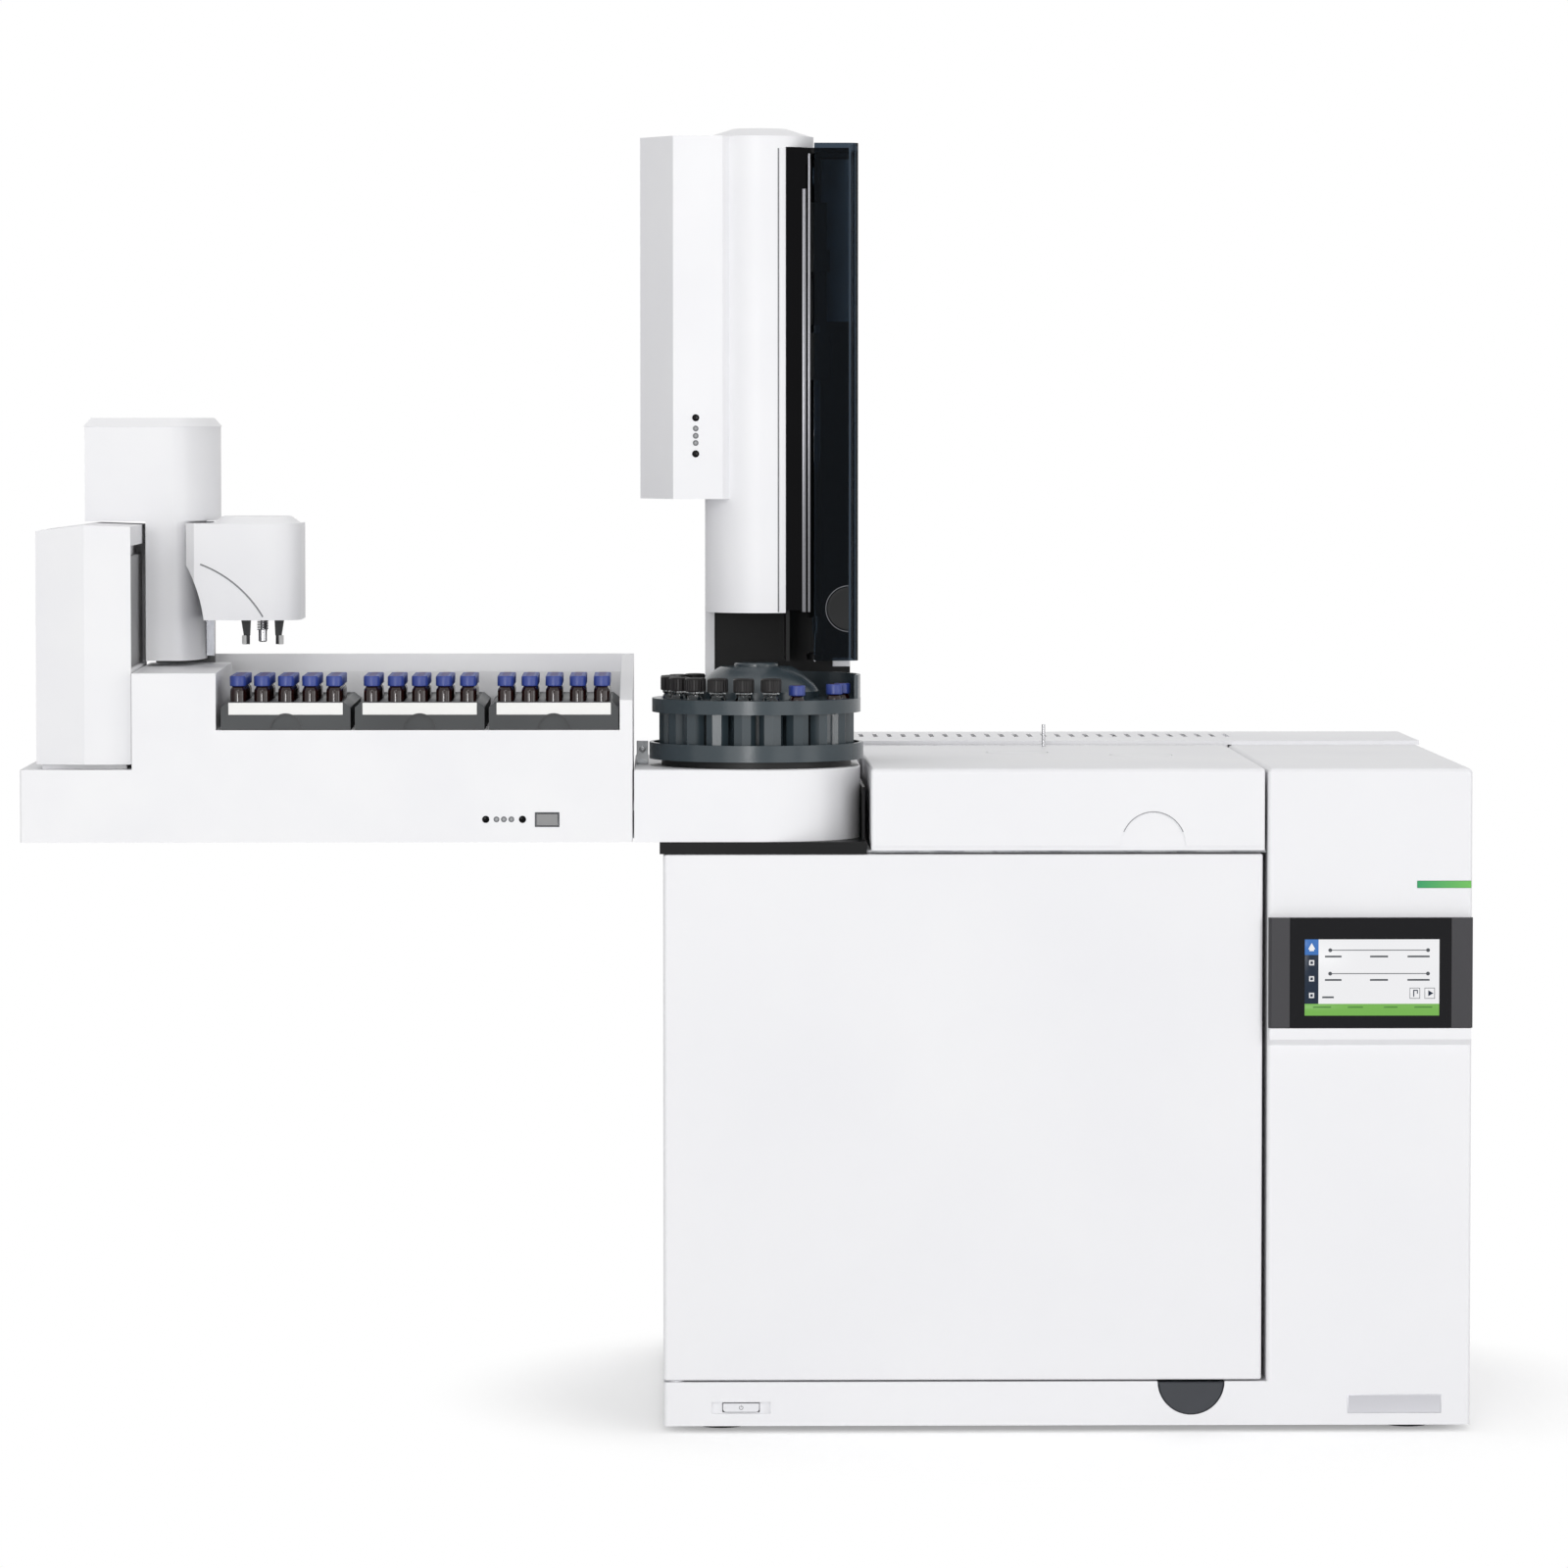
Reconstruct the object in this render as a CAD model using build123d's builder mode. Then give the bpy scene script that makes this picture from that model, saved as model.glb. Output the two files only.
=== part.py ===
"""Gas chromatograph with a fluid injector tower and a sample tray, in millimetres.

X runs from the tray to the electronics column, Y from the front to the back, Z up from the bench.
The origin is the middle of the whole footprint at bench level.
"""

from build123d import *
from math import cos, radians, sin
import os

os.makedirs("parts", exist_ok=True)

# ---- driving dimensions -------------------------------------------------------------------------
main_width = 583.0  # mainframe
main_depth = 540.0
main_height = 480.5
foot_height = 5.0
base_height = 31.8
sheet = 2.0  # steel sheet of the panels
screen_proud = 7.0  # screen and its sill stand out this far in front
fitting_proud = 14.0  # gas fittings stand out this far at the back
door_width = 431.9
door_gap = 3.5  # dark gap between the door and the electronics column
door_height = 380.4
door_depth = 40.0
cavity_width = 290.0  # oven cavity
cavity_height = 300.0
cavity_depth = 168.0
cavity_lift = 45.0  # oven floor above the bottom edge of the door
lid_width = 283.7
lid_depth = 372.0
lid_height = 59.1
deck_thick = 1.8
rear_rise = 3.0  # the rear vent cover stands this much above the lid

tray_overhang = 461.6  # tray beyond the left side of the mainframe
tray_width = 439.7
tray_depth = 257.0
tier_height = 52.2  # lower tier of the tray
mount_thick = 6.7  # dark bracket under the injector housing
plastic = 3.0  # wall of the moulded covers
well_rise = 28.5  # rack floor above the lower tier
well_left = 140.6  # from the left end of the tray to the rack well
well_width = 289.9
deck_left = 80.3  # from the left end of the tray to the raised deck
deck_rise = 69.2  # left deck above the lower tier
wall_rise = 75.2  # rear wall above the lower tier
post_rise = 50.0  # right cheek above the lower tier, at the front
channel_front = 197.0  # rear channel of the tray, from its front
channel_floor = 40.0  # channel floor above the lower tier

rack_count = 3
rack_pitch = 96.2
rack_width = 93.0
rack_depth = 188.0
rack_height = 22.3
vial_columns = 5
vial_rows = 10
filled_rows = 5
vial_pitch = 17.3
vial_radius = 5.9
vial_cap_radius = 6.1
vial_body = 30.0
vial_cap = 6.4
pocket_radius = 6.9

housing_width = 164.5  # injector housing
housing_depth = 235.0
housing_corner = 75.0
turret_radius = 78.0
turret_positions = 20
turret_pitch_radius = 63.0
bottle_count = 9
bottle_radius = 6.9
tower_height = 936.8  # shoulder of the tower above the bench
tower_wide_bottom = 673.0
tower_narrow_bottom = 590.0
cap_thick = 8.0  # round white cap that closes the top of the column
column_radius = 39.5
clearance = 0.5

# ---- places worked out from them ----------------------------------------------------------------
overall_width = main_width + tray_overhang
overall_depth = main_depth + screen_proud + fitting_proud
main_right = overall_width / 2
main_left = main_right - main_width
tray_left = -overall_width / 2
tray_right = tray_left + tray_width
front = -overall_depth / 2 + screen_proud
back = front + main_depth
base_top = foot_height + base_height
door_bottom = base_top + 1.2
door_top = door_bottom + door_height
door_right = main_left + door_width
column_left = door_right + door_gap
deck_bottom = door_top + 0.5
deck_top = deck_bottom + deck_thick
deck_front = front + 14.0
lid_bottom = deck_top + 0.5
lid_top = lid_bottom + lid_height
lid_right = column_left - 2.1
lid_left = lid_right - lid_width
mount_top = deck_top + mount_thick
tray_bottom = mount_top
tier_top = tray_bottom + tier_height
housing_left = tray_right + 1.1
housing_right = housing_left + housing_width
housing_top = tier_top
oven_x = (main_left + door_right) / 2
cavity_bottom = door_bottom + cavity_lift
oven_z = cavity_bottom + cavity_height / 2
face_y = front + door_depth + 6.0  # front face of the oven opening
cavity_back = face_y + cavity_depth
liner_top = cavity_bottom + cavity_height + sheet
turret_x = housing_left + 88.8
turret_y = front + 75.0
turret_bottom = housing_top + 5.0
tower_x = turret_x + 2.8
needle_x = turret_x + 43.5
needle_y = front + 125.0
bay_back = front + 160.0


def save(part, name):
    """Label a finished piece and write it as its own STEP file."""
    part.label = name
    export_step(part, f"parts/{name}.step")


def block(x0, x1, y0, y1, z0, z1, mode=Mode.ADD):
    """A plain block between two corners, joined into the piece being built."""
    with Locations(((x0 + x1) / 2, (y0 + y1) / 2, (z0 + z1) / 2)):
        Box(x1 - x0, y1 - y0, z1 - z0, mode=mode)


def rod(x, y, z0, z1, radius, mode=Mode.ADD):
    """An upright round bar or hole."""
    with Locations((x, y, (z0 + z1) / 2)):
        Cylinder(radius, z1 - z0, mode=mode)


def rod_back(x, z, y0, y1, radius, mode=Mode.ADD):
    """A round bar or hole that runs from front to back."""
    with Locations((x, (y0 + y1) / 2, z)):
        Cylinder(radius, y1 - y0, rotation=(90, 0, 0), mode=mode)


def rod_across(y, z, x0, x1, radius, mode=Mode.ADD):
    """A round bar or hole that runs from left to right."""
    with Locations(((x0 + x1) / 2, y, z)):
        Cylinder(radius, x1 - x0, rotation=(0, 90, 0), mode=mode)


# ---- base pan with the latch pocket and the button recess ---------------------------------------
latch_x = main_left + 381.1
latch_radius = 23.8
latch_depth = 22.0
button_x = main_left + 56.0
button_z = foot_height + 13.2
button_width = 26.0
button_height = 6.1
recess_width = 42.6
recess_height = 8.4
recess_depth = 2.5
button_travel = 2.0
button_depth = 12.0
bar_depth = 30.0  # solid front bar of the base
hinge_inset = 9.0  # oven door hinge axis from the left side and from the front
hinge_radius = 3.0
hinge_fit = 0.08

with BuildPart() as base_pan:
    block(main_left, main_right, front, back, foot_height, base_top)
    fillet(base_pan.edges().filter_by(Axis.Z).group_by(Axis.Y)[0], 3)
    block(main_left + sheet, main_right - sheet, front + bar_depth, back - sheet,
          foot_height + sheet, base_top, Mode.SUBTRACT)
    for rib_x in (main_left + main_width * 0.35, column_left - sheet):
        block(rib_x, rib_x + sheet, front + bar_depth, back - sheet, foot_height + sheet, base_top)
    rod_back(latch_x, base_top, front, front + latch_depth + button_travel + clearance,
             latch_radius + clearance, Mode.SUBTRACT)
    block(button_x - recess_width / 2, button_x + recess_width / 2, front, front + recess_depth,
          button_z - recess_height / 2, button_z + recess_height / 2, Mode.SUBTRACT)
    block(button_x - button_width / 2 - clearance, button_x + button_width / 2 + clearance,
          front, front + recess_depth + button_depth + button_travel,
          button_z - button_height / 2 - clearance, button_z + button_height / 2 + clearance,
          Mode.SUBTRACT)
    rod(main_left + hinge_inset, front + hinge_inset, base_top, base_top + 9, hinge_radius)
    rod(main_left + hinge_inset, front + hinge_inset, base_top, door_bottom - 0.3, hinge_radius + 3)
save(base_pan.part, "base_pan")

foot_radius = 17.0
foot_inset = 42.0
with BuildPart() as feet:
    with BuildSketch():
        with Locations(((main_left + main_right) / 2, (front + back) / 2)):
            with GridLocations(main_width - 2 * foot_inset, main_depth - 2 * foot_inset, 2, 2):
                Circle(foot_radius)
    extrude(amount=foot_height)
    chamfer(feet.edges().group_by(Axis.Z)[0], 1.2)
save(feet.part, "feet")

# ---- oven latch and power button, both pressed towards the back ---------------------------------
with BuildPart() as oven_latch:
    with BuildSketch(Plane.XZ.offset(-front)):
        with Locations((latch_x, base_top - clearance)):
            Circle(latch_radius)
            Rectangle(2 * latch_radius, latch_radius, align=(Align.CENTER, Align.MIN),
                      mode=Mode.SUBTRACT)
    extrude(amount=-latch_depth)
    chamfer(oven_latch.faces().sort_by(Axis.Y)[0].edges(), 1)
save(oven_latch.part, "oven_latch")

with BuildPart() as power_button:
    button_face = front + 0.8
    block(button_x - button_width / 2, button_x + button_width / 2, button_face,
          button_face + button_depth, button_z - button_height / 2, button_z + button_height / 2)
    fillet(power_button.edges().filter_by(Axis.Y).group_by(Axis.Z)[0], 2.2)
save(power_button.part, "power_button")

# ---- panels -------------------------------------------------------------------------------------
panel_front = front + door_depth + 3.5
louvre_count = 9
louvre_pitch = 12.0
louvre_length = 90.0
louvre_width = 4.0

with BuildPart() as side_panel:
    block(main_left, main_left + sheet, panel_front, back, base_top, deck_bottom)
    block(main_left + sheet, main_left + 14, panel_front, panel_front + sheet, base_top, deck_bottom)
    with BuildSketch(Plane.YZ.offset(main_left)):
        with Locations((back - 110, oven_z)):
            with GridLocations(0, louvre_pitch, 1, louvre_count):
                SlotOverall(louvre_length, louvre_width)
    extrude(amount=sheet, mode=Mode.SUBTRACT)
save(side_panel.part, "side_panel")

# The column's cover: one folded shell with a recess for the screen, its sill and a shadow gap.
screen_width = 148.4
screen_height = 79.7
screen_bottom = foot_height + 288.0
screen_recess = 16.0
sill_height = 14.0
strip_width = 39.9
strip_height = 5.4
strip_z = screen_bottom + screen_height + 21.0
rear_slot_count = 10
lid_pin_radius = 2.0
lid_axis_y = front + lid_depth - 3.5
lid_axis_z = lid_top - 4.0

with BuildPart() as electronics_cover:
    block(column_left, main_right, front, back, base_top, lid_top)
    fillet(electronics_cover.edges().filter_by(Axis.Z).group_by(Axis.Y)[0], 3)
    fillet(electronics_cover.edges().filter_by(Axis.X).group_by(Axis.Z)[-1].sort_by(Axis.Y)[0], 4)
    block(column_left + sheet, main_right - sheet, front + sheet, back - sheet, base_top,
          lid_top - sheet, Mode.SUBTRACT)
    block(column_left + 6, main_right - 6, front, front + sheet, screen_bottom + 4,
          screen_bottom + screen_height - 4, Mode.SUBTRACT)
    block(main_right - strip_width, main_right - 0.6, front, front + sheet, strip_z,
          strip_z + strip_height, Mode.SUBTRACT)
    with BuildSketch(Plane.YZ.offset(column_left + 1)):
        with BuildLine():
            Polyline((front + sheet, screen_bottom), (front - screen_proud, screen_bottom),
                     (front - screen_proud, screen_bottom - sill_height + 6),
                     (front + sheet, screen_bottom - sill_height), close=True)
        make_face()
    extrude(amount=main_right - column_left - 2)
    with BuildSketch(Plane.XZ.offset(-back)):
        with Locations(((column_left + main_right) / 2, oven_z)):
            with GridLocations(0, louvre_pitch, 1, rear_slot_count):
                SlotOverall(louvre_length, louvre_width)
    extrude(amount=sheet, mode=Mode.SUBTRACT)
    rod_across(lid_axis_y, lid_axis_z, lid_right - 2.5, column_left + 1, lid_pin_radius)
save(electronics_cover.part, "electronics_cover")

with BuildPart() as status_strip:
    block(main_right - strip_width + 0.2, main_right - 0.8, front - 0.2, front + sheet,
          strip_z + 0.2, strip_z + strip_height - 0.2)
save(status_strip.part, "status_strip")

bezel_left = column_left - 0.5
bezel_flank = 15.5
glass_thick = 2.0
with BuildPart() as screen_bezel:
    block(bezel_left + 1, main_right, front - screen_proud + 0.5, front, screen_bottom + 0.2,
          screen_bottom + screen_height)
    chamfer(screen_bezel.edges().filter_by(Axis.Z).group_by(Axis.Y)[0], 2)
    block(column_left + bezel_flank, main_right - bezel_flank, front - screen_proud,
          front - screen_proud + 0.5 + glass_thick + 0.2, screen_bottom, screen_bottom + screen_height,
          Mode.SUBTRACT)
    block(column_left + 8, main_right - 8, front, front + screen_recess, screen_bottom + 6,
          screen_bottom + screen_height - 6)
save(screen_bezel.part, "screen_bezel")

with BuildPart() as screen_glass:
    block(column_left + bezel_flank + 0.2, main_right - bezel_flank - 0.2, front - screen_proud + 0.5,
          front - screen_proud + 0.5 + glass_thick, screen_bottom + 0.4,
          screen_bottom + screen_height - 0.2)
save(screen_glass.part, "screen_glass")

# ---- rear: panel, vent cover, power inlet, gas fittings -----------------------------------------
duct_width = 120.0
duct_height = 60.0
duct_x = oven_x - 90
duct_z = oven_z + 90
duct_slot_count = 6
inlet_width = 48.0
inlet_height = 28.0
inlet_x = oven_x + 140
inlet_z = base_top + 50
with BuildPart() as rear_panel:
    block(main_left + sheet, column_left, back - sheet, back, base_top, deck_bottom)
    block(duct_x - duct_width / 2, duct_x + duct_width / 2, back, back + fitting_proud,
          duct_z - duct_height / 2, duct_z + duct_height / 2)
    block(duct_x - duct_width / 2 + sheet, duct_x + duct_width / 2 - sheet, back - sheet,
          back + fitting_proud - sheet, duct_z - duct_height / 2 + sheet,
          duct_z + duct_height / 2 - sheet, Mode.SUBTRACT)
    with BuildSketch(Plane.XZ.offset(-(back + fitting_proud - sheet))):
        with Locations((duct_x, duct_z)):
            with GridLocations(0, 9, 1, duct_slot_count):
                SlotOverall(duct_width - 16, 4)
    extrude(amount=-sheet, mode=Mode.SUBTRACT)
    block(inlet_x - inlet_width / 2, inlet_x + inlet_width / 2, back - sheet, back,
          inlet_z - inlet_height / 2, inlet_z + inlet_height / 2, Mode.SUBTRACT)
save(rear_panel.part, "rear_panel")

with BuildPart() as power_inlet:
    block(inlet_x - inlet_width / 2 + 0.3, inlet_x + inlet_width / 2 - 0.3, back - 24, back + 1.5,
          inlet_z - inlet_height / 2 + 0.3, inlet_z + inlet_height / 2 - 0.3)
    block(inlet_x - 12, inlet_x + 12, back - 16, back + 1.5, inlet_z - 8, inlet_z + 8, Mode.SUBTRACT)
    with BuildSketch(Plane.XZ.offset(-(back - 16))):
        with Locations((inlet_x, inlet_z)):
            with GridLocations(7, 0, 3, 1):
                Rectangle(2, 5)
    extrude(amount=-12)
save(power_inlet.part, "power_inlet")

fitting_pitch = 26.0
fitting_count = 5
with BuildPart() as gas_fittings:
    with BuildSketch(Plane.XZ.offset(-back)):
        with Locations((oven_x + 110, oven_z + 120)):
            with GridLocations(fitting_pitch, 0, fitting_count, 1):
                RegularPolygon(7, 6)
    extrude(amount=-6)
    with BuildSketch(Plane.XZ.offset(-(back + 6))):
        with Locations((oven_x + 110, oven_z + 120)):
            with GridLocations(fitting_pitch, 0, fitting_count, 1):
                Circle(4)
    extrude(amount=-(fitting_proud - 6))
    with BuildSketch(Plane.XZ.offset(-(back + fitting_proud))):
        with Locations((oven_x + 110, oven_z + 120)):
            with GridLocations(fitting_pitch, 0, fitting_count, 1):
                Circle(1.6)
    extrude(amount=fitting_proud - 4, mode=Mode.SUBTRACT)
save(gas_fittings.part, "gas_fittings")

# The vent cover closes the rear and reaches forward beside the lid, behind the injector.
rear_front = front + lid_depth + 2.5
arm_front = front + housing_depth + 5.0
arm_right = lid_left - 2.1
vent_count = 27
vent_pitch = 11.0
with BuildPart() as top_cover:
    with BuildSketch(Plane.XY.offset(deck_top)):
        with BuildLine():
            Polyline((main_left, arm_front), (arm_right, arm_front), (arm_right, rear_front),
                     (column_left - 0.4, rear_front), (column_left - 0.4, back), (main_left, back),
                     close=True)
        make_face()
    extrude(amount=lid_top + rear_rise - deck_top)
    with BuildSketch(Plane.XY.offset(deck_top)):
        with BuildLine():
            Polyline((main_left + sheet, arm_front + sheet), (arm_right - sheet, arm_front + sheet),
                     (arm_right - sheet, rear_front + sheet), (column_left - 3, rear_front + sheet),
                     (column_left - 3, back - sheet), (main_left + sheet, back - sheet), close=True)
        make_face()
    extrude(amount=lid_top + rear_rise - deck_top - sheet, mode=Mode.SUBTRACT)
    block(column_left - 0.4, main_right, rear_front, back, lid_top, lid_top + rear_rise)
    with BuildSketch(Plane.XY.offset(lid_top)):
        with Locations((oven_x + 82, rear_front + 100)):
            with GridLocations(vent_pitch, 0, vent_count, 1):
                Rectangle(3.5, 50)
    extrude(amount=rear_rise, mode=Mode.SUBTRACT)
    rod_across(lid_axis_y, lid_axis_z, arm_right - 1, lid_left + 2.5, lid_pin_radius)
save(top_cover.part, "top_cover")

# ---- deck over the oven, with its inlets and detectors ------------------------------------------
inlet_radius = 16.0
back_inlet_y = needle_y + 70
detector_x = lid_left + 70
detector_pitch = 110.0
detector_y = front + 170
detector_radius = 15.0
stem_radius = 5.0
with BuildPart() as top_deck:
    block(main_left, column_left - 0.5, deck_front, back - 0.2, deck_bottom, deck_top)
    for inlet_y in (needle_y, back_inlet_y):
        rod(needle_x, inlet_y, deck_bottom, deck_top, inlet_radius + 0.3, Mode.SUBTRACT)
    for index in range(2):
        rod(detector_x + index * detector_pitch, detector_y, deck_bottom, deck_top,
            detector_radius + 0.3, Mode.SUBTRACT)
save(top_deck.part, "top_deck")

inlet_rise = housing_top - mount_top - 14
with BuildPart() as inlets:
    for inlet_y, rise in ((needle_y, inlet_rise), (back_inlet_y, mount_thick + 10)):
        rod(needle_x, inlet_y, liner_top + 0.3, deck_top + mount_thick + rise - 8, inlet_radius)
        rod(needle_x, inlet_y, deck_top + mount_thick + rise - 8, deck_top + mount_thick + rise, 11)
        rod(needle_x, inlet_y, deck_top + mount_thick + rise - 5, deck_top + mount_thick + rise, 2,
            Mode.SUBTRACT)
        rod(needle_x, inlet_y, liner_top - 12, liner_top + 0.3, stem_radius)
save(inlets.part, "inlets")

with BuildPart() as detectors:
    for index in range(2):
        x = detector_x + index * detector_pitch
        rod(x, detector_y, liner_top + 0.3, deck_top + 22, detector_radius)
        rod(x, detector_y, deck_top + 22, deck_top + 44, 9)
        rod(x, detector_y, deck_top + 38, deck_top + 44, 5, Mode.SUBTRACT)
        rod(x, detector_y, liner_top - 12, liner_top + 0.3, stem_radius)
    chamfer(detectors.edges().group_by(Axis.Z)[-1], 1)
save(detectors.part, "detectors")

# ---- detector lid -------------------------------------------------------------------------------
lid_wall = 2.5
grip_x = lid_right - 80.4
grip_radius = 23.5
grip_height = 24.7
pin_x = (main_left + main_right) / 2
pin_y = front + lid_depth - 26
with BuildPart() as detector_lid:
    block(lid_left, lid_right, front, front + lid_depth, lid_bottom, lid_top)
    fillet(detector_lid.edges().filter_by(Axis.X).group_by(Axis.Z)[-1].sort_by(Axis.Y)[0], 4)
    fillet(detector_lid.edges().filter_by(Axis.Z).group_by(Axis.Y)[0], 2)
    block(lid_left + lid_wall, lid_right - lid_wall, front + lid_wall, front + lid_depth, lid_bottom,
          lid_top - lid_wall, Mode.SUBTRACT)
    block(lid_left, lid_right, front, front + 0.8, lid_bottom + 2.2, lid_bottom + 3, Mode.SUBTRACT)
    with BuildSketch(Plane.XZ.offset(-front)):
        with Locations((grip_x, lid_bottom + 3)):
            Ellipse(grip_radius, grip_height)
            Rectangle(3 * grip_radius, 2 * grip_height, align=(Align.CENTER, Align.MAX),
                      mode=Mode.SUBTRACT)
    extrude(amount=-0.9, mode=Mode.SUBTRACT)
    for x in (lid_left, lid_right - lid_wall):
        rod_across(lid_axis_y, lid_axis_z, x, x + lid_wall, lid_pin_radius + hinge_fit, Mode.SUBTRACT)
    for x, y in ((pin_x - 25, front + 248), (pin_x + 66, front + 209)):
        with BuildSketch(Plane.XY.offset(lid_top)):
            with Locations((x, y)):
                Circle(24)
                Circle(22.6, mode=Mode.SUBTRACT)
        extrude(amount=-0.8, mode=Mode.SUBTRACT)
    rod(pin_x, pin_y, lid_top - lid_wall, lid_top, 1.5, Mode.SUBTRACT)
save(detector_lid.part, "detector_lid")

with BuildPart() as vent_pin:
    rod(pin_x, pin_y, lid_top - lid_wall - 8, lid_top + 17, 1.3)
    rod(pin_x, pin_y, lid_top - lid_wall - 4, lid_top - lid_wall, 4)
save(vent_pin.part, "vent_pin")

# ---- oven: liner, shroud, heater, fan, motor, column --------------------------------------------
fan_y = cavity_back - 26
shaft_radius = 3.0
with BuildPart() as oven_liner:
    block(main_left + sheet + 13, column_left - 3, face_y, face_y + sheet,
          base_top, deck_bottom)
    block(oven_x - cavity_width / 2 - sheet, oven_x + cavity_width / 2 + sheet, face_y,
          cavity_back + sheet, cavity_bottom - sheet, cavity_bottom + cavity_height + sheet)
    block(oven_x - cavity_width / 2, oven_x + cavity_width / 2, face_y, cavity_back,
          cavity_bottom, cavity_bottom + cavity_height, Mode.SUBTRACT)
    rod_back(oven_x, oven_z, cavity_back, cavity_back + sheet, shaft_radius + 1.5, Mode.SUBTRACT)
    stems = [(needle_x, needle_y), (needle_x, back_inlet_y)]
    stems += [(detector_x + index * detector_pitch, detector_y) for index in range(2)]
    for x, y in stems:
        rod(x, y, liner_top - sheet, liner_top, stem_radius + 1.5, Mode.SUBTRACT)
save(oven_liner.part, "oven_liner")

shroud_y = fan_y - 20
fan_radius = 62.0
with BuildPart() as fan_shroud:
    block(oven_x - cavity_width / 2 + 1, oven_x + cavity_width / 2 - 1, shroud_y, shroud_y + 1.5,
          cavity_bottom + 18, cavity_bottom + cavity_height - 18)
    with BuildSketch(Plane.XZ.offset(-shroud_y)):
        with Locations((oven_x, oven_z)):
            with PolarLocations(37, 10):
                SlotOverall(34, 8)
    extrude(amount=-1.5, mode=Mode.SUBTRACT)
    for x in (oven_x - cavity_width / 2 + 12, oven_x + cavity_width / 2 - 12):
        for z in (cavity_bottom + 30, cavity_bottom + cavity_height - 30):
            rod_back(x, z, shroud_y, cavity_back, 3.5)
save(fan_shroud.part, "fan_shroud")

with BuildPart() as oven_heater:
    with BuildSketch(Plane.XZ.offset(-(fan_y - 6))):
        with Locations((oven_x, oven_z)):
            Circle(fan_radius + 22)
            Circle(fan_radius + 14, mode=Mode.SUBTRACT)
    extrude(amount=-8)
    with BuildSketch(Plane.XZ.offset(-(fan_y + 2))):
        with Locations((oven_x, oven_z)):
            with PolarLocations(fan_radius + 18, 4, start_angle=45):
                Circle(2.5)
    extrude(amount=-(cavity_back - fan_y - 2))
save(oven_heater.part, "oven_heater")

blade_count = 8
motor_front = cavity_back + 14
shaft_seat = 8.0
with BuildPart() as oven_fan:
    rod_back(oven_x, oven_z, fan_y, fan_y + 12, 14)
    rod_back(oven_x, oven_z, fan_y + 12, motor_front + shaft_seat, shaft_radius)
    rod_back(oven_x, oven_z, fan_y + 11, fan_y + 13, 40)
    with BuildSketch(Plane.XZ.offset(-fan_y)):
        with Locations((oven_x, oven_z)):
            with PolarLocations(36, blade_count):
                with Locations(Location((0, 0), 25)):
                    Rectangle(50, 1.6)
    extrude(amount=-12)
save(oven_fan.part, "oven_fan")

with BuildPart() as fan_motor:
    rod_back(oven_x, oven_z, motor_front, motor_front + 70, 40)
    chamfer(fan_motor.edges().group_by(Axis.Y)[-1], 5)
    with BuildSketch(Plane.XZ.offset(-(cavity_back + sheet))):
        with Locations((oven_x, oven_z)):
            with GridLocations(64, 0, 2, 1):
                Circle(5)
    extrude(amount=-(motor_front - cavity_back - sheet + 3))
    rod_back(oven_x, oven_z, motor_front, motor_front + shaft_seat + 0.5, shaft_radius + hinge_fit,
             Mode.SUBTRACT)
save(fan_motor.part, "fan_motor")

coil_radius = 88.0
coil_width = 15.0
coil_y = face_y + 62
coil_ridges = 5
with BuildPart() as column_coil:
    with BuildSketch(Plane.YZ.offset(oven_x)):
        with BuildLine():
            ridge = coil_width / coil_ridges
            outline = [(coil_y, oven_z + coil_radius - 3)]
            for index in range(coil_ridges):
                outline.append((coil_y + (index + 0.5) * ridge, oven_z + coil_radius + 1.2))
                outline.append((coil_y + (index + 1) * ridge, oven_z + coil_radius))
            outline.append((coil_y + coil_width, oven_z + coil_radius - 3))
            Polyline(*outline, close=True)
        make_face()
    revolve(axis=Axis((oven_x, 0, oven_z), (0, 1, 0)))
save(column_coil.part, "column_coil")

wire = 1.5
cage_depth = 34.0
cage_y = coil_y + coil_width / 2 - cage_depth / 2
cage_top = cavity_bottom + cavity_height
with BuildPart() as column_cage:
    spokes = 6
    for index in range(spokes):
        angle = radians(30 + index * 360 / spokes)
        rod_back(oven_x + (coil_radius - 5) * cos(angle), oven_z + (coil_radius - 5) * sin(angle),
                 cage_y, cage_y + cage_depth, wire)
    for ring_y in (cage_y, cage_y + cage_depth - 2 * wire):
        with BuildSketch(Plane.XZ.offset(-ring_y)):
            with Locations((oven_x, oven_z)):
                Circle(coil_radius - 3.5)
                Circle(coil_radius - 6.5, mode=Mode.SUBTRACT)
        extrude(amount=-2 * wire)
    for x in (oven_x - 42, oven_x + 42):
        rod(x, cage_y + wire, oven_z + 70, cage_top, wire)
save(column_cage.part, "column_cage")

# ---- oven door ----------------------------------------------------------------------------------
door_skin_sheet = 2.0
hinge_x = main_left + hinge_inset
hinge_y = front + hinge_inset
plug_gap = 9.0
plug_depth = 10.0
with BuildPart() as door_skin:
    block(main_left, door_right, front, front + door_depth, door_bottom, door_top)
    fillet(door_skin.edges().filter_by(Axis.Z).group_by(Axis.Y)[0], 3)
    fillet(door_skin.edges().filter_by(Axis.X).group_by(Axis.Y)[0], 1.5)
    block(main_left + door_skin_sheet, door_right - door_skin_sheet, front + door_skin_sheet,
          front + door_depth, door_bottom + door_skin_sheet, door_top - door_skin_sheet, Mode.SUBTRACT)
    for z in (door_bottom, door_top - 12):
        rod(hinge_x, hinge_y, z, z + 12, hinge_radius + 3)
    rod(hinge_x, hinge_y, door_bottom, door_bottom + 10, hinge_radius + hinge_fit, Mode.SUBTRACT)
    rod(hinge_x, hinge_y, door_top - 10, door_top, hinge_radius + hinge_fit, Mode.SUBTRACT)
save(door_skin.part, "door_skin")

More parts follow.
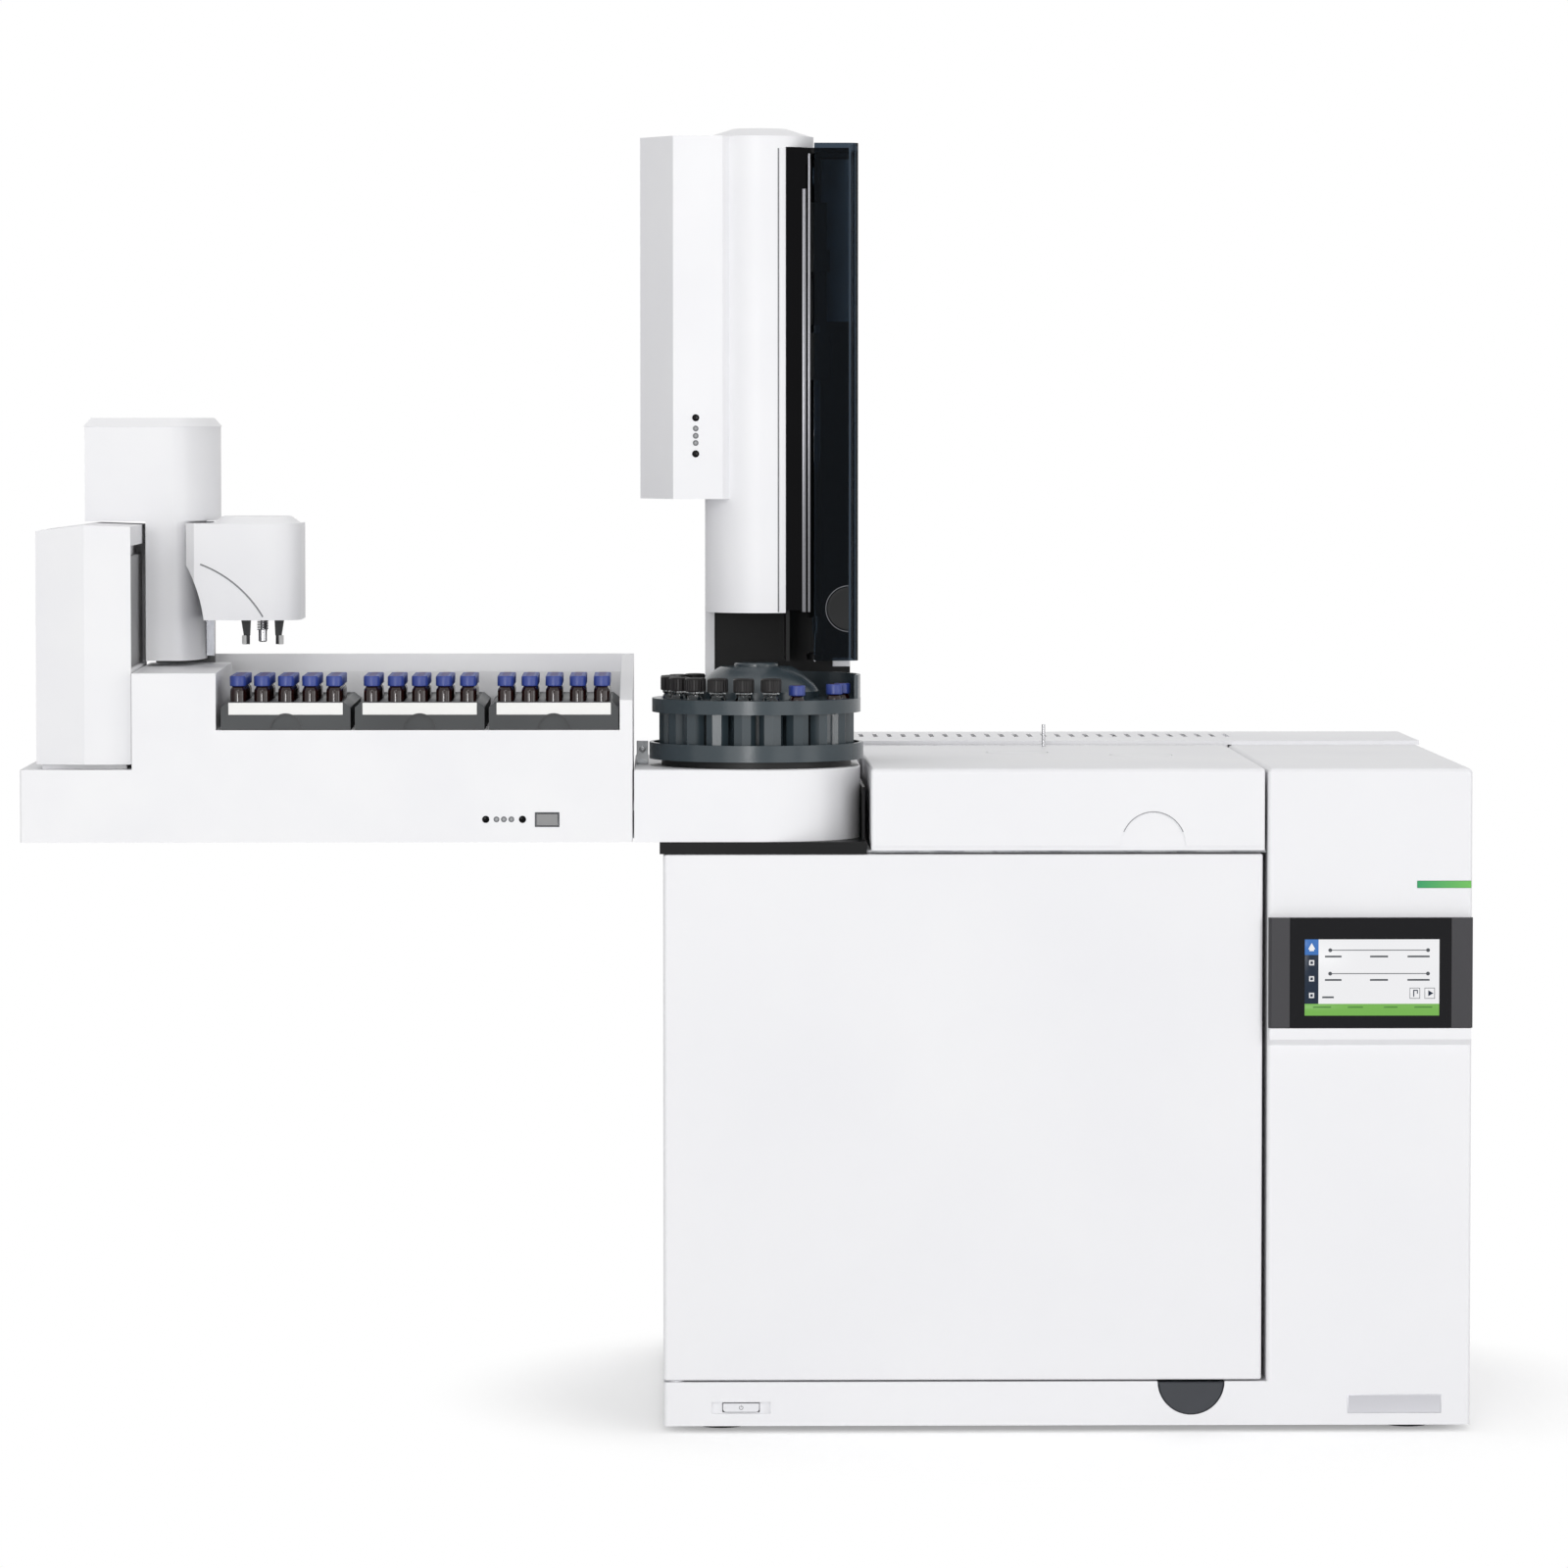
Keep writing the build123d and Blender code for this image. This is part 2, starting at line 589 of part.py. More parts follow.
liner_left = main_left + door_skin_sheet + 0.3
liner_right = door_right - door_skin_sheet - 0.3
with BuildPart() as door_liner:
    block(liner_left, liner_right, front + 20, front + door_depth - 0.5,
          door_bottom + door_skin_sheet + 0.3, door_top - door_skin_sheet - 0.3)
    block(liner_left + sheet, liner_right - sheet, front + 20, front + door_depth - 0.5 - sheet,
          door_bottom + 2 * sheet + 0.3, door_top - 2 * sheet - 0.3, Mode.SUBTRACT)
    with BuildSketch(Plane.XZ.offset(-(front + door_depth - 0.5 - sheet))):
        with Locations((oven_x, oven_z)):
            Rectangle(cavity_width - 2 * plug_gap, cavity_height - 2 * plug_gap)
    extrude(amount=-(plug_depth + sheet + 0.5), taper=-4)
save(door_liner.part, "door_liner")

gasket_width = 8.0
with BuildPart() as door_gasket:
    with BuildSketch(Plane.XZ.offset(-(front + door_depth - 0.5))):
        with Locations((oven_x, oven_z)):
            RectangleRounded(cavity_width + 2 * gasket_width + 6, cavity_height + 2 * gasket_width + 6, 8)
            RectangleRounded(cavity_width + 6, cavity_height + 6, 4, mode=Mode.SUBTRACT)
    extrude(amount=-6.2)
save(door_gasket.part, "door_gasket")

# ---- injector: mount, housing, turret -----------------------------------------------------------
with BuildPart() as sampler_mount:
    block(main_left - 2.5, lid_left - 3.0, front, front + housing_depth, deck_top, mount_top)
    block(main_left - 2.5, lid_left - 3.0, front, deck_front - 0.3, door_top + 0.3, deck_top)
    rod(hinge_x, hinge_y, door_top - 8, deck_top, hinge_radius)
    block(housing_right + 0.3, housing_right + 2.3, front + 30, front + housing_depth, mount_top - 1,
          mount_top + 38)
    for inlet_y in (needle_y, back_inlet_y):
        rod(needle_x, inlet_y, deck_top, mount_top, inlet_radius + 0.3, Mode.SUBTRACT)
save(sampler_mount.part, "sampler_mount")

chassis_thick = 2.5
chassis_lip = 20.0
with BuildPart() as tray_chassis:
    chassis_left = tray_left + plastic + 0.3
    chassis_right = housing_right - 10
    chassis_front = front + 50
    block(chassis_left, chassis_right, chassis_front, front + housing_depth - plastic - 0.5, mount_top,
          mount_top + chassis_thick)
    block(chassis_left, housing_left + 40, chassis_front, chassis_front + chassis_thick, mount_top,
          mount_top + chassis_lip)
    for inlet_y in (needle_y, back_inlet_y):
        rod(needle_x, inlet_y, mount_top, mount_top + chassis_thick, inlet_radius + 1, Mode.SUBTRACT)
save(tray_chassis.part, "tray_chassis")


def housing_outline(inset):
    """Plan of the injector housing, with its deep swept corner at the front right."""
    with BuildLine() as outline:
        radius = housing_corner - inset
        corner = (housing_right - inset - radius, front + inset + radius)
        start = Line((housing_left + inset, front + inset), (corner[0], front + inset))
        CenterArc(corner, radius, -90, 90)
        Polyline((corner[0] + radius, corner[1]), (corner[0] + radius, front + housing_depth - inset),
                 (housing_left + inset, front + housing_depth - inset), start @ 0)
    make_face(outline.edges())


with BuildPart() as injector_housing:
    with BuildSketch(Plane.XY.offset(mount_top)):
        housing_outline(0)
    extrude(amount=housing_top - mount_top)
    fillet(injector_housing.edges().group_by(Axis.Z)[-1], 1.5)
    with BuildSketch(Plane.XY.offset(mount_top)):
        housing_outline(plastic)
    extrude(amount=housing_top - mount_top - plastic, mode=Mode.SUBTRACT)
    block(housing_left, housing_left + plastic, chassis_front - 1, front + tray_depth, mount_top,
          mount_top + chassis_lip + 1, Mode.SUBTRACT)
    rod(needle_x, needle_y, housing_top - plastic, housing_top, 8, Mode.SUBTRACT)
save(injector_housing.part, "injector_housing")

with BuildPart() as turret_seat:
    rod(turret_x, turret_y, housing_top, housing_top + 4.5, turret_radius - 9)
    rod(needle_x, needle_y, housing_top, housing_top + 4.5, 8, Mode.SUBTRACT)
    rod(turret_x, turret_y, housing_top + 4.5, turret_bottom + 12, 8)
save(turret_seat.part, "turret_seat")

ring_top = turret_bottom + 44.0
tube_radius = 8.6
tube_sides = 8
dome_top = turret_bottom + 69.4
hub_radius = 16.0  # small round cover in the middle of the dome
dome_flat = 26.0
dome_foot = 46.0
guard_rise = 17.0
guard_sweep = 104.0  # degrees of the rim that the guard follows, from the front round to the back
turret_step = 360 / turret_positions
turret_start = -81.0


def turret_place(position):
    """Centre of one bottle position of the turret."""
    angle = radians(turret_start - position * turret_step)
    return (turret_x + turret_pitch_radius * cos(angle), turret_y + turret_pitch_radius * sin(angle))


with BuildPart() as turret:
    rod(turret_x, turret_y, turret_bottom, turret_bottom + 3, turret_radius)
    rod(turret_x, turret_y, turret_bottom + 3, turret_bottom + 12, turret_radius)
    rod(turret_x, turret_y, turret_bottom + 3, turret_bottom + 12, turret_radius - 3, Mode.SUBTRACT)
    rod(turret_x, turret_y, turret_bottom + 3, ring_top, turret_pitch_radius - 10)
    with BuildSketch(Plane.XY.offset(turret_bottom + 3)):
        for position in range(turret_positions):
            with Locations(turret_place(position)):
                RegularPolygon(tube_radius, tube_sides, rotation=turret_start - position * turret_step)
    extrude(amount=ring_top - turret_bottom - 3)
    with BuildSketch(Plane.XY.offset(ring_top - 10)):
        with Locations((turret_x, turret_y)):
            Circle(turret_radius - 2)
            Circle(turret_pitch_radius - 12, mode=Mode.SUBTRACT)
    extrude(amount=10)
    with BuildSketch(Plane.XY.offset(turret_bottom + 3)):
        for position in range(turret_positions):
            with Locations(turret_place(position)):
                RegularPolygon(tube_radius - 1, tube_sides,
                               rotation=turret_start - position * turret_step)
    extrude(amount=ring_top - turret_bottom, mode=Mode.SUBTRACT)
    rod(turret_x, turret_y, turret_bottom, turret_bottom + 13, 8 + hinge_fit, Mode.SUBTRACT)
    with BuildSketch(Plane.XZ.offset(-turret_y)):
        with BuildLine():
            Polyline((turret_x + dome_flat, dome_top - 2.7), (turret_x + hub_radius, dome_top - 2.7),
                     (turret_x + hub_radius, dome_top - 0.8), (turret_x + hub_radius - 0.8, dome_top),
                     (turret_x, dome_top), (turret_x, ring_top - 2),
                     (turret_x + dome_foot, ring_top - 2), (turret_x + dome_foot, ring_top + 5))
            RadiusArc((turret_x + dome_foot, ring_top + 5), (turret_x + dome_flat, dome_top - 2.7), -60)
        make_face()
    revolve(axis=Axis((turret_x, turret_y, 0), (0, 0, 1)))
    with BuildSketch(Plane.XY.offset(ring_top - 1)):
        with BuildLine():
            outer = CenterArc((turret_x, turret_y), turret_radius - 2.2, -14, guard_sweep)
            inner = CenterArc((turret_x, turret_y), turret_radius - 5, -14, guard_sweep)
            Line(outer @ 0, inner @ 0)
            Line(outer @ 1, inner @ 1)
        make_face()
    extrude(amount=guard_rise + 1)
save(turret.part, "turret")

bottle_sides = 10
bottle_base = turret_bottom + 3.2
neck_bottom = ring_top + 2.5
neck_top = neck_bottom + 4
with BuildPart() as turret_bottles:
    for radius, low, high in ((bottle_radius, bottle_base, neck_bottom),
                              (bottle_radius - 1.8, neck_bottom, neck_top),
                              (bottle_radius + 0.7, neck_top, neck_top + 10)):
        with BuildSketch(Plane.XY.offset(low)):
            for position in range(bottle_count):
                with Locations(turret_place(position)):
                    RegularPolygon(radius, bottle_sides)
        extrude(amount=high - low)
save(turret_bottles.part, "turret_bottles")

with BuildPart() as turret_vials:
    for radius, low, high in ((vial_radius, bottle_base, neck_top + 4),
                              (vial_cap_radius, neck_top + 4, neck_top + 4 + vial_cap)):
        with BuildSketch(Plane.XY.offset(low)):
            for position in (16, 17, 19):
                with Locations(turret_place(position)):
                    RegularPolygon(radius, bottle_sides)
        extrude(amount=high - low)
save(turret_vials.part, "turret_vials")

# ---- injector tower -----------------------------------------------------------------------------
tower_left = housing_left + 4.3
tower_facet = 24.0  # the slanted left facet
tower_step = 60.1  # width of the flat front, from the tower's left side
column_y = front + 114.5
tower_front = column_y - column_radius
jamb_x = tower_x + 18.7
jamb_y = column_y - (column_radius ** 2 - 18.7 ** 2) ** 0.5
tower_back = front + 200.0
bay_right = lid_left - 11.1
chassis_top = tower_height - cap_thick - 0.5
roof_thick = 4.0


def tower_outline(inset, narrow):
    """Plan of the tower's white cover: the flat box on the left and the round column beside it."""
    with BuildSketch(Plane.XY, mode=Mode.PRIVATE) as plan:
        with Locations((tower_x, column_y)):
            Circle(column_radius - inset)
        left = tower_x - column_radius + inset
        rear = tower_back - inset
        with BuildLine():
            if narrow:
                Polyline((left, column_y), (jamb_x, column_y), (jamb_x, rear), (left, rear), close=True)
            else:
                side = tower_left + inset
                Polyline((side, tower_front + 50), (side + tower_facet, tower_front + 5 + inset),
                         (tower_left + tower_step, tower_front + inset), (tower_x, column_y),
                         (jamb_x, column_y), (jamb_x, rear), (side, rear), close=True)
        make_face()
        with Locations((jamb_x - inset, column_y)):
            Rectangle(2 * column_radius, 4 * column_radius, align=(Align.MIN, Align.CENTER),
                      mode=Mode.SUBTRACT)
    return plan.sketch


with BuildPart() as tower_body:
    for narrow, low, high in ((False, tower_wide_bottom, tower_height),
                              (True, tower_narrow_bottom, tower_wide_bottom + plastic)):
        with BuildSketch(Plane.XY.offset(low)):
            add(tower_outline(0, narrow))
        extrude(amount=high - low)
    with BuildSketch(Plane.XY.offset(tower_narrow_bottom)):
        add(tower_outline(plastic, True))
    extrude(amount=tower_height - tower_narrow_bottom - plastic, mode=Mode.SUBTRACT)
    with BuildSketch(Plane.XY.offset(tower_wide_bottom + plastic)):
        add(tower_outline(plastic, False))
    extrude(amount=tower_height - tower_wide_bottom - 2 * plastic, mode=Mode.SUBTRACT)
    block(tower_x - column_radius, tower_x - column_radius + 6.7, bay_back, tower_back, housing_top,
          tower_narrow_bottom)
    rod(tower_x, column_y, tower_height - cap_thick, tower_height, column_radius)
    with BuildSketch(Plane.XY.offset(tower_height)) as cap_base:
        with Locations((tower_x, column_y)):
            Circle(column_radius - 0.5)
    with BuildSketch(Plane.XY.offset(tower_height + 6)) as cap_crown:
        with Locations((tower_x, column_y)):
            Circle(column_radius - 20)
    loft()
save(tower_body.part, "tower_body")

# The dark chassis: spine down to the housing, back of the syringe bay and its left wall.
bay_bottom = housing_top + 75.0
bay_left = jamb_x + 0.4
with BuildPart() as tower_chassis:
    block(bay_left, bay_right, bay_back, tower_back, bay_bottom, chassis_top)
    block(bay_left, bay_left + 2.5, jamb_y + 5, bay_back, bay_bottom, chassis_top)
    block(bay_left, bay_right - 3, jamb_y + 6.2, bay_back, chassis_top - roof_thick, chassis_top)
    block(tower_x - column_radius + 7, bay_right, bay_back + 4, tower_back, housing_top, bay_bottom)
    block(tower_x - column_radius + 7, bay_left, bay_back + 4, tower_back, bay_bottom,
          tower_narrow_bottom - 0.3)
    block(bay_right - 12, bay_right, bay_back - 12, bay_back + 4, housing_top, housing_top + 8)
    rod(needle_x, needle_y, bay_bottom, bay_bottom + 4, 6)
    block(needle_x - 4, needle_x + 4, needle_y, bay_back, bay_bottom, bay_bottom + 4)
    rod(needle_x, needle_y, bay_bottom, bay_bottom + 4, 1.2, Mode.SUBTRACT)
save(tower_chassis.part, "tower_chassis")

# Fixed front strips of the bay, and the rail that the syringe carriage runs on.
rail_width = 10.0
rail_depth = 6.0
tower_hinge_x = bay_left + 21.5
with BuildPart() as tower_guides:
    strip_bottom = tower_narrow_bottom + 2
    strip_top = chassis_top - 0.3
    thin_strip_right = tower_hinge_x - 3.7
    block(bay_left + 0.3, bay_left + 14.4, jamb_y + 0.5, jamb_y + 4.7, strip_bottom, strip_top)
    block(thin_strip_right - 2.5, thin_strip_right, jamb_y + 2, jamb_y + 4.7, strip_bottom, strip_top)
    block(bay_left + 12, thin_strip_right, jamb_y + 4.7, jamb_y + 8, chassis_top - 3 * roof_thick,
          chassis_top - roof_thick)
    block(needle_x - rail_width / 2, needle_x + rail_width / 2, bay_back - rail_depth, bay_back,
          bay_bottom + 30, chassis_top - roof_thick - 1)
save(tower_guides.part, "tower_guides")

# Syringe carriage: it hugs the rail, holds the barrel, and its needle hangs through the foot.
carriage_z = tower_height - 176.8
needle_tip = bay_bottom - 1.5
with BuildPart() as syringe_carriage:
    block(needle_x - 13, needle_x + 13, needle_y - 12, bay_back - 1.0, carriage_z, carriage_z + 34)
    fillet(syringe_carriage.edges().filter_by(Axis.Z), 3)
    block(needle_x - rail_width / 2 - 0.3, needle_x + rail_width / 2 + 0.3,
          bay_back - rail_depth - 0.3, bay_back, carriage_z, carriage_z + 34, Mode.SUBTRACT)
    rod(needle_x, needle_y, carriage_z, carriage_z + 34, 4.3, Mode.SUBTRACT)
    block(needle_x - 9, needle_x + 9, needle_y + 8, bay_back - rail_depth - 0.3, carriage_z + 34,
          carriage_z + 130)
save(syringe_carriage.part, "syringe_carriage")

with BuildPart() as syringe:
    rod(needle_x, needle_y, carriage_z - 60, carriage_z + 40, 4)
    rod(needle_x, needle_y, carriage_z - 68, carriage_z - 60, 2.5)
    rod(needle_x, needle_y, needle_tip, carriage_z - 68, 0.6)
    rod(needle_x, needle_y, carriage_z - 55, carriage_z + 40, 1.1, Mode.SUBTRACT)
save(syringe.part, "syringe")

plunger_stroke = 30.0
with BuildPart() as plunger_carriage:
    rod(needle_x, needle_y, carriage_z - 15, carriage_z + 80, 1.0)
    rod(needle_x, needle_y, carriage_z + 76, carriage_z + 82, 5)
    block(needle_x - 11, needle_x + 11, needle_y - 7, needle_y + 7.5, carriage_z + 79, carriage_z + 95)
save(plunger_carriage.part, "plunger_carriage")

# Smoke-tinted door: a flat front and a side that wraps round the bay.
tower_hinge_y = jamb_y + 2.0
pane = 2.4
pane_corner = 9.0
door_left = tower_hinge_x - 1.2
pane_right = bay_right + 4
pane_front = jamb_y + 0.8
tower_door_depth = 70.0
tower_door_bottom = bay_bottom + 0.5
tower_door_top = tower_height - 5
grip_z = tower_door_bottom + 38


def pane_outline(inset):
    """Plan of the tinted door: the space behind its front and its side."""
    with BuildLine() as outline:
        corner = pane_corner - inset
        centre = (pane_right - pane_corner, pane_front + pane_corner)
        flat = Line((door_left - 1, pane_front + inset), (centre[0], pane_front + inset))
        CenterArc(centre, corner, -90, 90)
        Polyline((pane_right - inset, centre[1]), (pane_right - inset, pane_front + tower_door_depth + 1),
                 (door_left - 1, pane_front + tower_door_depth + 1), flat @ 0)
    make_face(outline.edges())


with BuildPart() as tower_door:
    with BuildSketch(Plane.XY.offset(tower_door_bottom)):
        pane_outline(0)
        with Locations((door_left - 1, pane_front + tower_door_depth)):
            Rectangle(2 * main_width, 4, align=(Align.CENTER, Align.MIN), mode=Mode.SUBTRACT)
        with Locations((door_left, pane_front)):
            Rectangle(4, 4 * tower_door_depth, align=(Align.MAX, Align.CENTER), mode=Mode.SUBTRACT)
    extrude(amount=tower_door_top - tower_door_bottom)
    with BuildSketch(Plane.XY.offset(tower_door_bottom)):
        pane_outline(pane)
    extrude(amount=tower_door_top - tower_door_bottom, mode=Mode.SUBTRACT)
    with BuildSketch(Plane.XZ.offset(-pane_front)):
        with Locations((pane_right - pane_corner + 2, grip_z)):
            Circle(16)
            Rectangle(20, 40, align=(Align.MIN, Align.CENTER), mode=Mode.SUBTRACT)
    extrude(amount=-0.8, mode=Mode.SUBTRACT)
    for z in (tower_door_bottom + 20, tower_door_top - 30):
        rod(tower_hinge_x, tower_hinge_y + 1.2, z, z + 12, 2.2)
save(tower_door.part, "tower_door")

# ---- tray: base, deck, rail, pillar -------------------------------------------------------------
park_x = tray_left + 378.3
park_z = tray_bottom + 16.3
park_width = 15.0
park_height = 8.0
park_depth = 9.0
park_travel = 1.5
with BuildPart() as tray_base:
    block(tray_left, tray_right, front, front + tray_depth, tray_bottom, tier_top)
    fillet(tray_base.edges().filter_by(Axis.Z), 1.5)
    block(tray_left + plastic, tray_right - plastic, front + plastic, front + tray_depth - plastic,
          tray_bottom, tier_top - plastic, Mode.SUBTRACT)
    block(tray_right - plastic, tray_right, chassis_front - 1, front + tray_depth - plastic, tray_bottom,
          mount_top + chassis_lip + 1, Mode.SUBTRACT)
    block(park_x - park_width / 2 - 0.4, park_x + park_width / 2 + 0.4, front, front + plastic,
          park_z - park_height / 2 - 0.4, park_z + park_height / 2 + 0.4, Mode.SUBTRACT)
    for rib_x in range(1, 4):
        x = tray_left + rib_x * tray_width / 4
        block(x, x + 2, front + plastic, front + tray_depth - plastic, mount_top + chassis_lip + 1.3,
              tier_top - plastic)
save(tray_base.part, "tray_base")

with BuildPart() as park_button:
    block(park_x - park_width / 2, park_x + park_width / 2, front - 0.6, front - 0.6 + park_depth,
          park_z - park_height / 2, park_z + park_height / 2)
    fillet(park_button.edges().filter_by(Axis.Y), 1.0)
save(park_button.part, "park_button")

well_x0 = tray_left + well_left
well_x1 = well_x0 + well_width
well_floor = tier_top + well_rise
tray_back = front + tray_depth
deck_x0 = tray_left + deck_left
wall_top = tier_top + wall_rise


def deck_side(x0, x1, outline, mode=Mode.ADD):
    """A length of the deck, from x0 to x1, with a side outline of depths and heights."""
    with BuildSketch(Plane.YZ.offset(x0)) as side:
        with BuildLine():
            Polyline(*[(front + depth, tier_top + height) for depth, height in outline], close=True)
        make_face()
    extrude(side.sketch, amount=x1 - x0, mode=mode)


with BuildPart() as tray_deck:
    deck_side(deck_x0, well_x0, [(0, 0), (0, deck_rise), (channel_front, deck_rise + 1.5),
                                 (channel_front, 0)])
    deck_side(well_x0, well_x1, [(0, 0), (0, well_rise), (channel_front, well_rise), (channel_front, 0)])
    deck_side(well_x1, tray_right, [(0, 0), (0, post_rise), (tray_depth, wall_rise), (tray_depth, 0)])
    deck_side(deck_x0, tray_right, [(channel_front - plastic, 0), (channel_front - plastic, deck_rise - 5),
                                    (channel_front, deck_rise - 5), (channel_front, channel_floor),
                                    (tray_depth - plastic, channel_floor),
                                    (tray_depth - plastic, wall_rise), (tray_depth, wall_rise),
                                    (tray_depth, 0)])
    deck_side(deck_x0 + plastic, well_x0 - plastic, [(plastic, 0), (plastic, deck_rise - plastic),
                                                     (channel_front - plastic, deck_rise - plastic),
                                                     (channel_front - plastic, 0)], Mode.SUBTRACT)
    deck_side(well_x0 + plastic, well_x1 - plastic, [(plastic, 0), (plastic, well_rise - plastic),
                                                     (channel_front - 2 * plastic, well_rise - plastic),
                                                     (channel_front - 2 * plastic, 0)], Mode.SUBTRACT)
    deck_side(deck_x0 + plastic, tray_right - plastic,
              [(channel_front, 0), (channel_front, channel_floor - plastic),
               (tray_depth - plastic, channel_floor - plastic), (tray_depth - plastic, 0)], Mode.SUBTRACT)
    with BuildSketch(Plane.XZ.offset(-(front + channel_front - plastic))):
        with Locations((well_x0 + 68, tier_top + deck_rise - 9)):
            with GridLocations(27, 0, 3, 1):
                Circle(1.2)
    extrude(amount=-plastic, mode=Mode.SUBTRACT)
save(tray_deck.part, "tray_deck")

# Gantry: its carriage runs on a rail in the rear channel, and two rods carry the column forward.
rail_y = front + 226.0
rail_z = tier_top + channel_floor
rail_left = deck_x0 + 4
rail_right = well_x1 - 4
rail_thick = 10.0
rail_high = 9.0
pillar_x0 = tray_left + 10.8
pillar_x1 = deck_x0 - 1.0
pillar_ridge = pillar_x0 + 35.4
pillar_front = front + 5.0
pillar_depth = 165.0
pillar_top = tier_top + 175.5
pillar_gap = 3.5
slot_low = tier_top + deck_rise + 3
slot_high = pillar_top - 15
slot_depth = 7.0
panel_inset = 2.5
with BuildPart() as tray_rail:
    block(rail_left, rail_right, rail_y - rail_thick / 2, rail_y + rail_thick / 2, rail_z,
          rail_z + rail_high)
    block(pillar_x1 - slot_depth, pillar_x1 - panel_inset, pillar_front + 8, pillar_front + pillar_depth - 8,
          slot_low + 0.3, slot_high - 8)
save(tray_rail.part, "tray_rail")

with BuildPart() as tray_pillar:
    with BuildSketch(Plane.XY.offset(tier_top + pillar_gap)):
        with BuildLine():
            Polyline((pillar_x0, pillar_front + 9), (pillar_ridge, pillar_front), (pillar_x1, pillar_front + 4),
                     (pillar_x1, pillar_front + pillar_depth), (pillar_x0, pillar_front + pillar_depth),
                     close=True)
        make_face()
    extrude(amount=pillar_top - tier_top - pillar_gap)
    with BuildSketch(Plane.XZ.offset(-(front - 1))):
        with BuildLine():
            Polyline((pillar_x0 - 1, pillar_top + 1), (pillar_x0 - 1, pillar_top - 4.5),
                     (pillar_ridge, pillar_top), (pillar_x1 + 1, pillar_top - 1.2),
                     (pillar_x1 + 1, pillar_top + 1), close=True)
        make_face()
    extrude(amount=-(pillar_depth + 20), mode=Mode.SUBTRACT)
    block(pillar_x1 - slot_depth, pillar_x1, pillar_front + 7.7, pillar_front + pillar_depth - 7.7, slot_low,
          slot_high, Mode.SUBTRACT)
    block(pillar_x0 + plastic, pillar_x1 - slot_depth - plastic, pillar_front + 9 + plastic,
          pillar_front + pillar_depth - plastic, tier_top + pillar_gap + plastic,
          pillar_top - 5 - plastic, Mode.SUBTRACT)
    block(pillar_x0 + 4, pillar_x1 - 4, pillar_front + 14, pillar_front + pillar_depth - 4, tier_top,
          tier_top + pillar_gap)
save(tray_pillar.part, "tray_pillar")

column_x0 = pillar_x1 + 2.7
column_width = 40.5
column_sweep = 72.0
column_bottom = tier_top + deck_rise + 5.0
gantry_front = front + 124.0
gantry_back = gantry_front + column_sweep
hood_x0 = tray_left + 37.7
hood_x1 = tray_left + 132.0
hood_bottom = pillar_top + 1.2
hood_top = tier_top + 246.0
hood_depth = 92.0
column_flat = column_x0 + 0.55 * column_width  # where the flat front starts to sweep back
hood_flat = column_x0 + 0.45 * column_width
rod_radius = 6.0
rod_fit = 0.05
rod_low = tier_top + 120
rod_high = tier_top + 152
rod_back_reach = 100.0
carriage_x1 = column_x0 + column_width + 5.5
carriage_y = gantry_back + 4.0
carriage_plate = 6.0
rod_x = column_x0 + 15


def swept_outline(x0, flat_x, x1, depth, total_depth):
    """Plan of the gantry covers: flat in front, then swept back to the right in a quarter ellipse."""
    with BuildLine() as outline:
        head = Line((x0, gantry_front), (flat_x, gantry_front))
        EllipticalCenterArc((flat_x, gantry_front + depth), x1 - flat_x, depth, start_angle=270,
                            arc_size=90)
        Polyline((x1, gantry_front + depth), (x1, gantry_front + total_depth),
                 (x0, gantry_front + total_depth), head @ 0)
    make_face(outline.edges())


with BuildPart() as gantry_column:
    with BuildSketch(Plane.XY.offset(column_bottom)):
        swept_outline(column_x0, column_flat, column_x0 + column_width, column_sweep - 4, column_sweep)
    extrude(amount=hood_bottom - column_bottom)
    with BuildSketch(Plane.XY.offset(hood_bottom)):
        swept_outline(hood_x0, hood_flat, hood_x1, column_sweep - 4, hood_depth)
    extrude(amount=hood_top - hood_bottom)
    with BuildSketch(Plane.XY.offset(hood_bottom)):
        swept_outline(hood_x0 + plastic, hood_flat, hood_x1 - plastic, column_sweep - 4,
                      hood_depth - plastic)
        with Locations((column_x0 - 1, gantry_front)):
            Rectangle(4 * hood_depth, 2 * plastic, mode=Mode.SUBTRACT)
    extrude(amount=hood_top - hood_bottom - plastic, mode=Mode.SUBTRACT)
    for z in (rod_low, rod_high):
        rod_back(rod_x, z, gantry_back - 50, gantry_back, rod_radius + rod_fit, Mode.SUBTRACT)
    block(column_x0 + plastic, column_x0 + column_width - 14, gantry_front + 30, gantry_back - plastic,
          hood_bottom - 30, hood_bottom, Mode.SUBTRACT)
    with BuildSketch(Plane.XY.offset(hood_top)):
        with BuildLine():
            lid_head = Line((hood_x0 - 1, gantry_front - 1), (hood_flat, gantry_front - 1))
            EllipticalCenterArc((hood_flat, gantry_front - 1 + column_sweep - 4),
                                hood_x1 + 1 - hood_flat, column_sweep - 4, start_angle=270,
                                arc_size=90)
            Polyline((hood_x1 + 1, gantry_front - 5 + column_sweep), (hood_x1 + 1, gantry_front + hood_depth),
                     (hood_x0 - 1, gantry_front + hood_depth), lid_head @ 0)
        make_face()
    extrude(amount=6.4, taper=40)
save(gantry_column.part, "gantry_column")

guide_x0 = column_x0 + column_width + 0.2
guide_x1 = guide_x0 + 5.8
slider_gap = 0.3
with BuildPart() as gantry_rods:
    for z in (rod_low, rod_high):
        rod_back(rod_x, z, gantry_back - 48, gantry_back + rod_back_reach, rod_radius)
    block(guide_x0, guide_x1, gantry_back - 14, gantry_back - 1, column_bottom + 2, hood_bottom - 1)
save(gantry_rods.part, "gantry_rods")

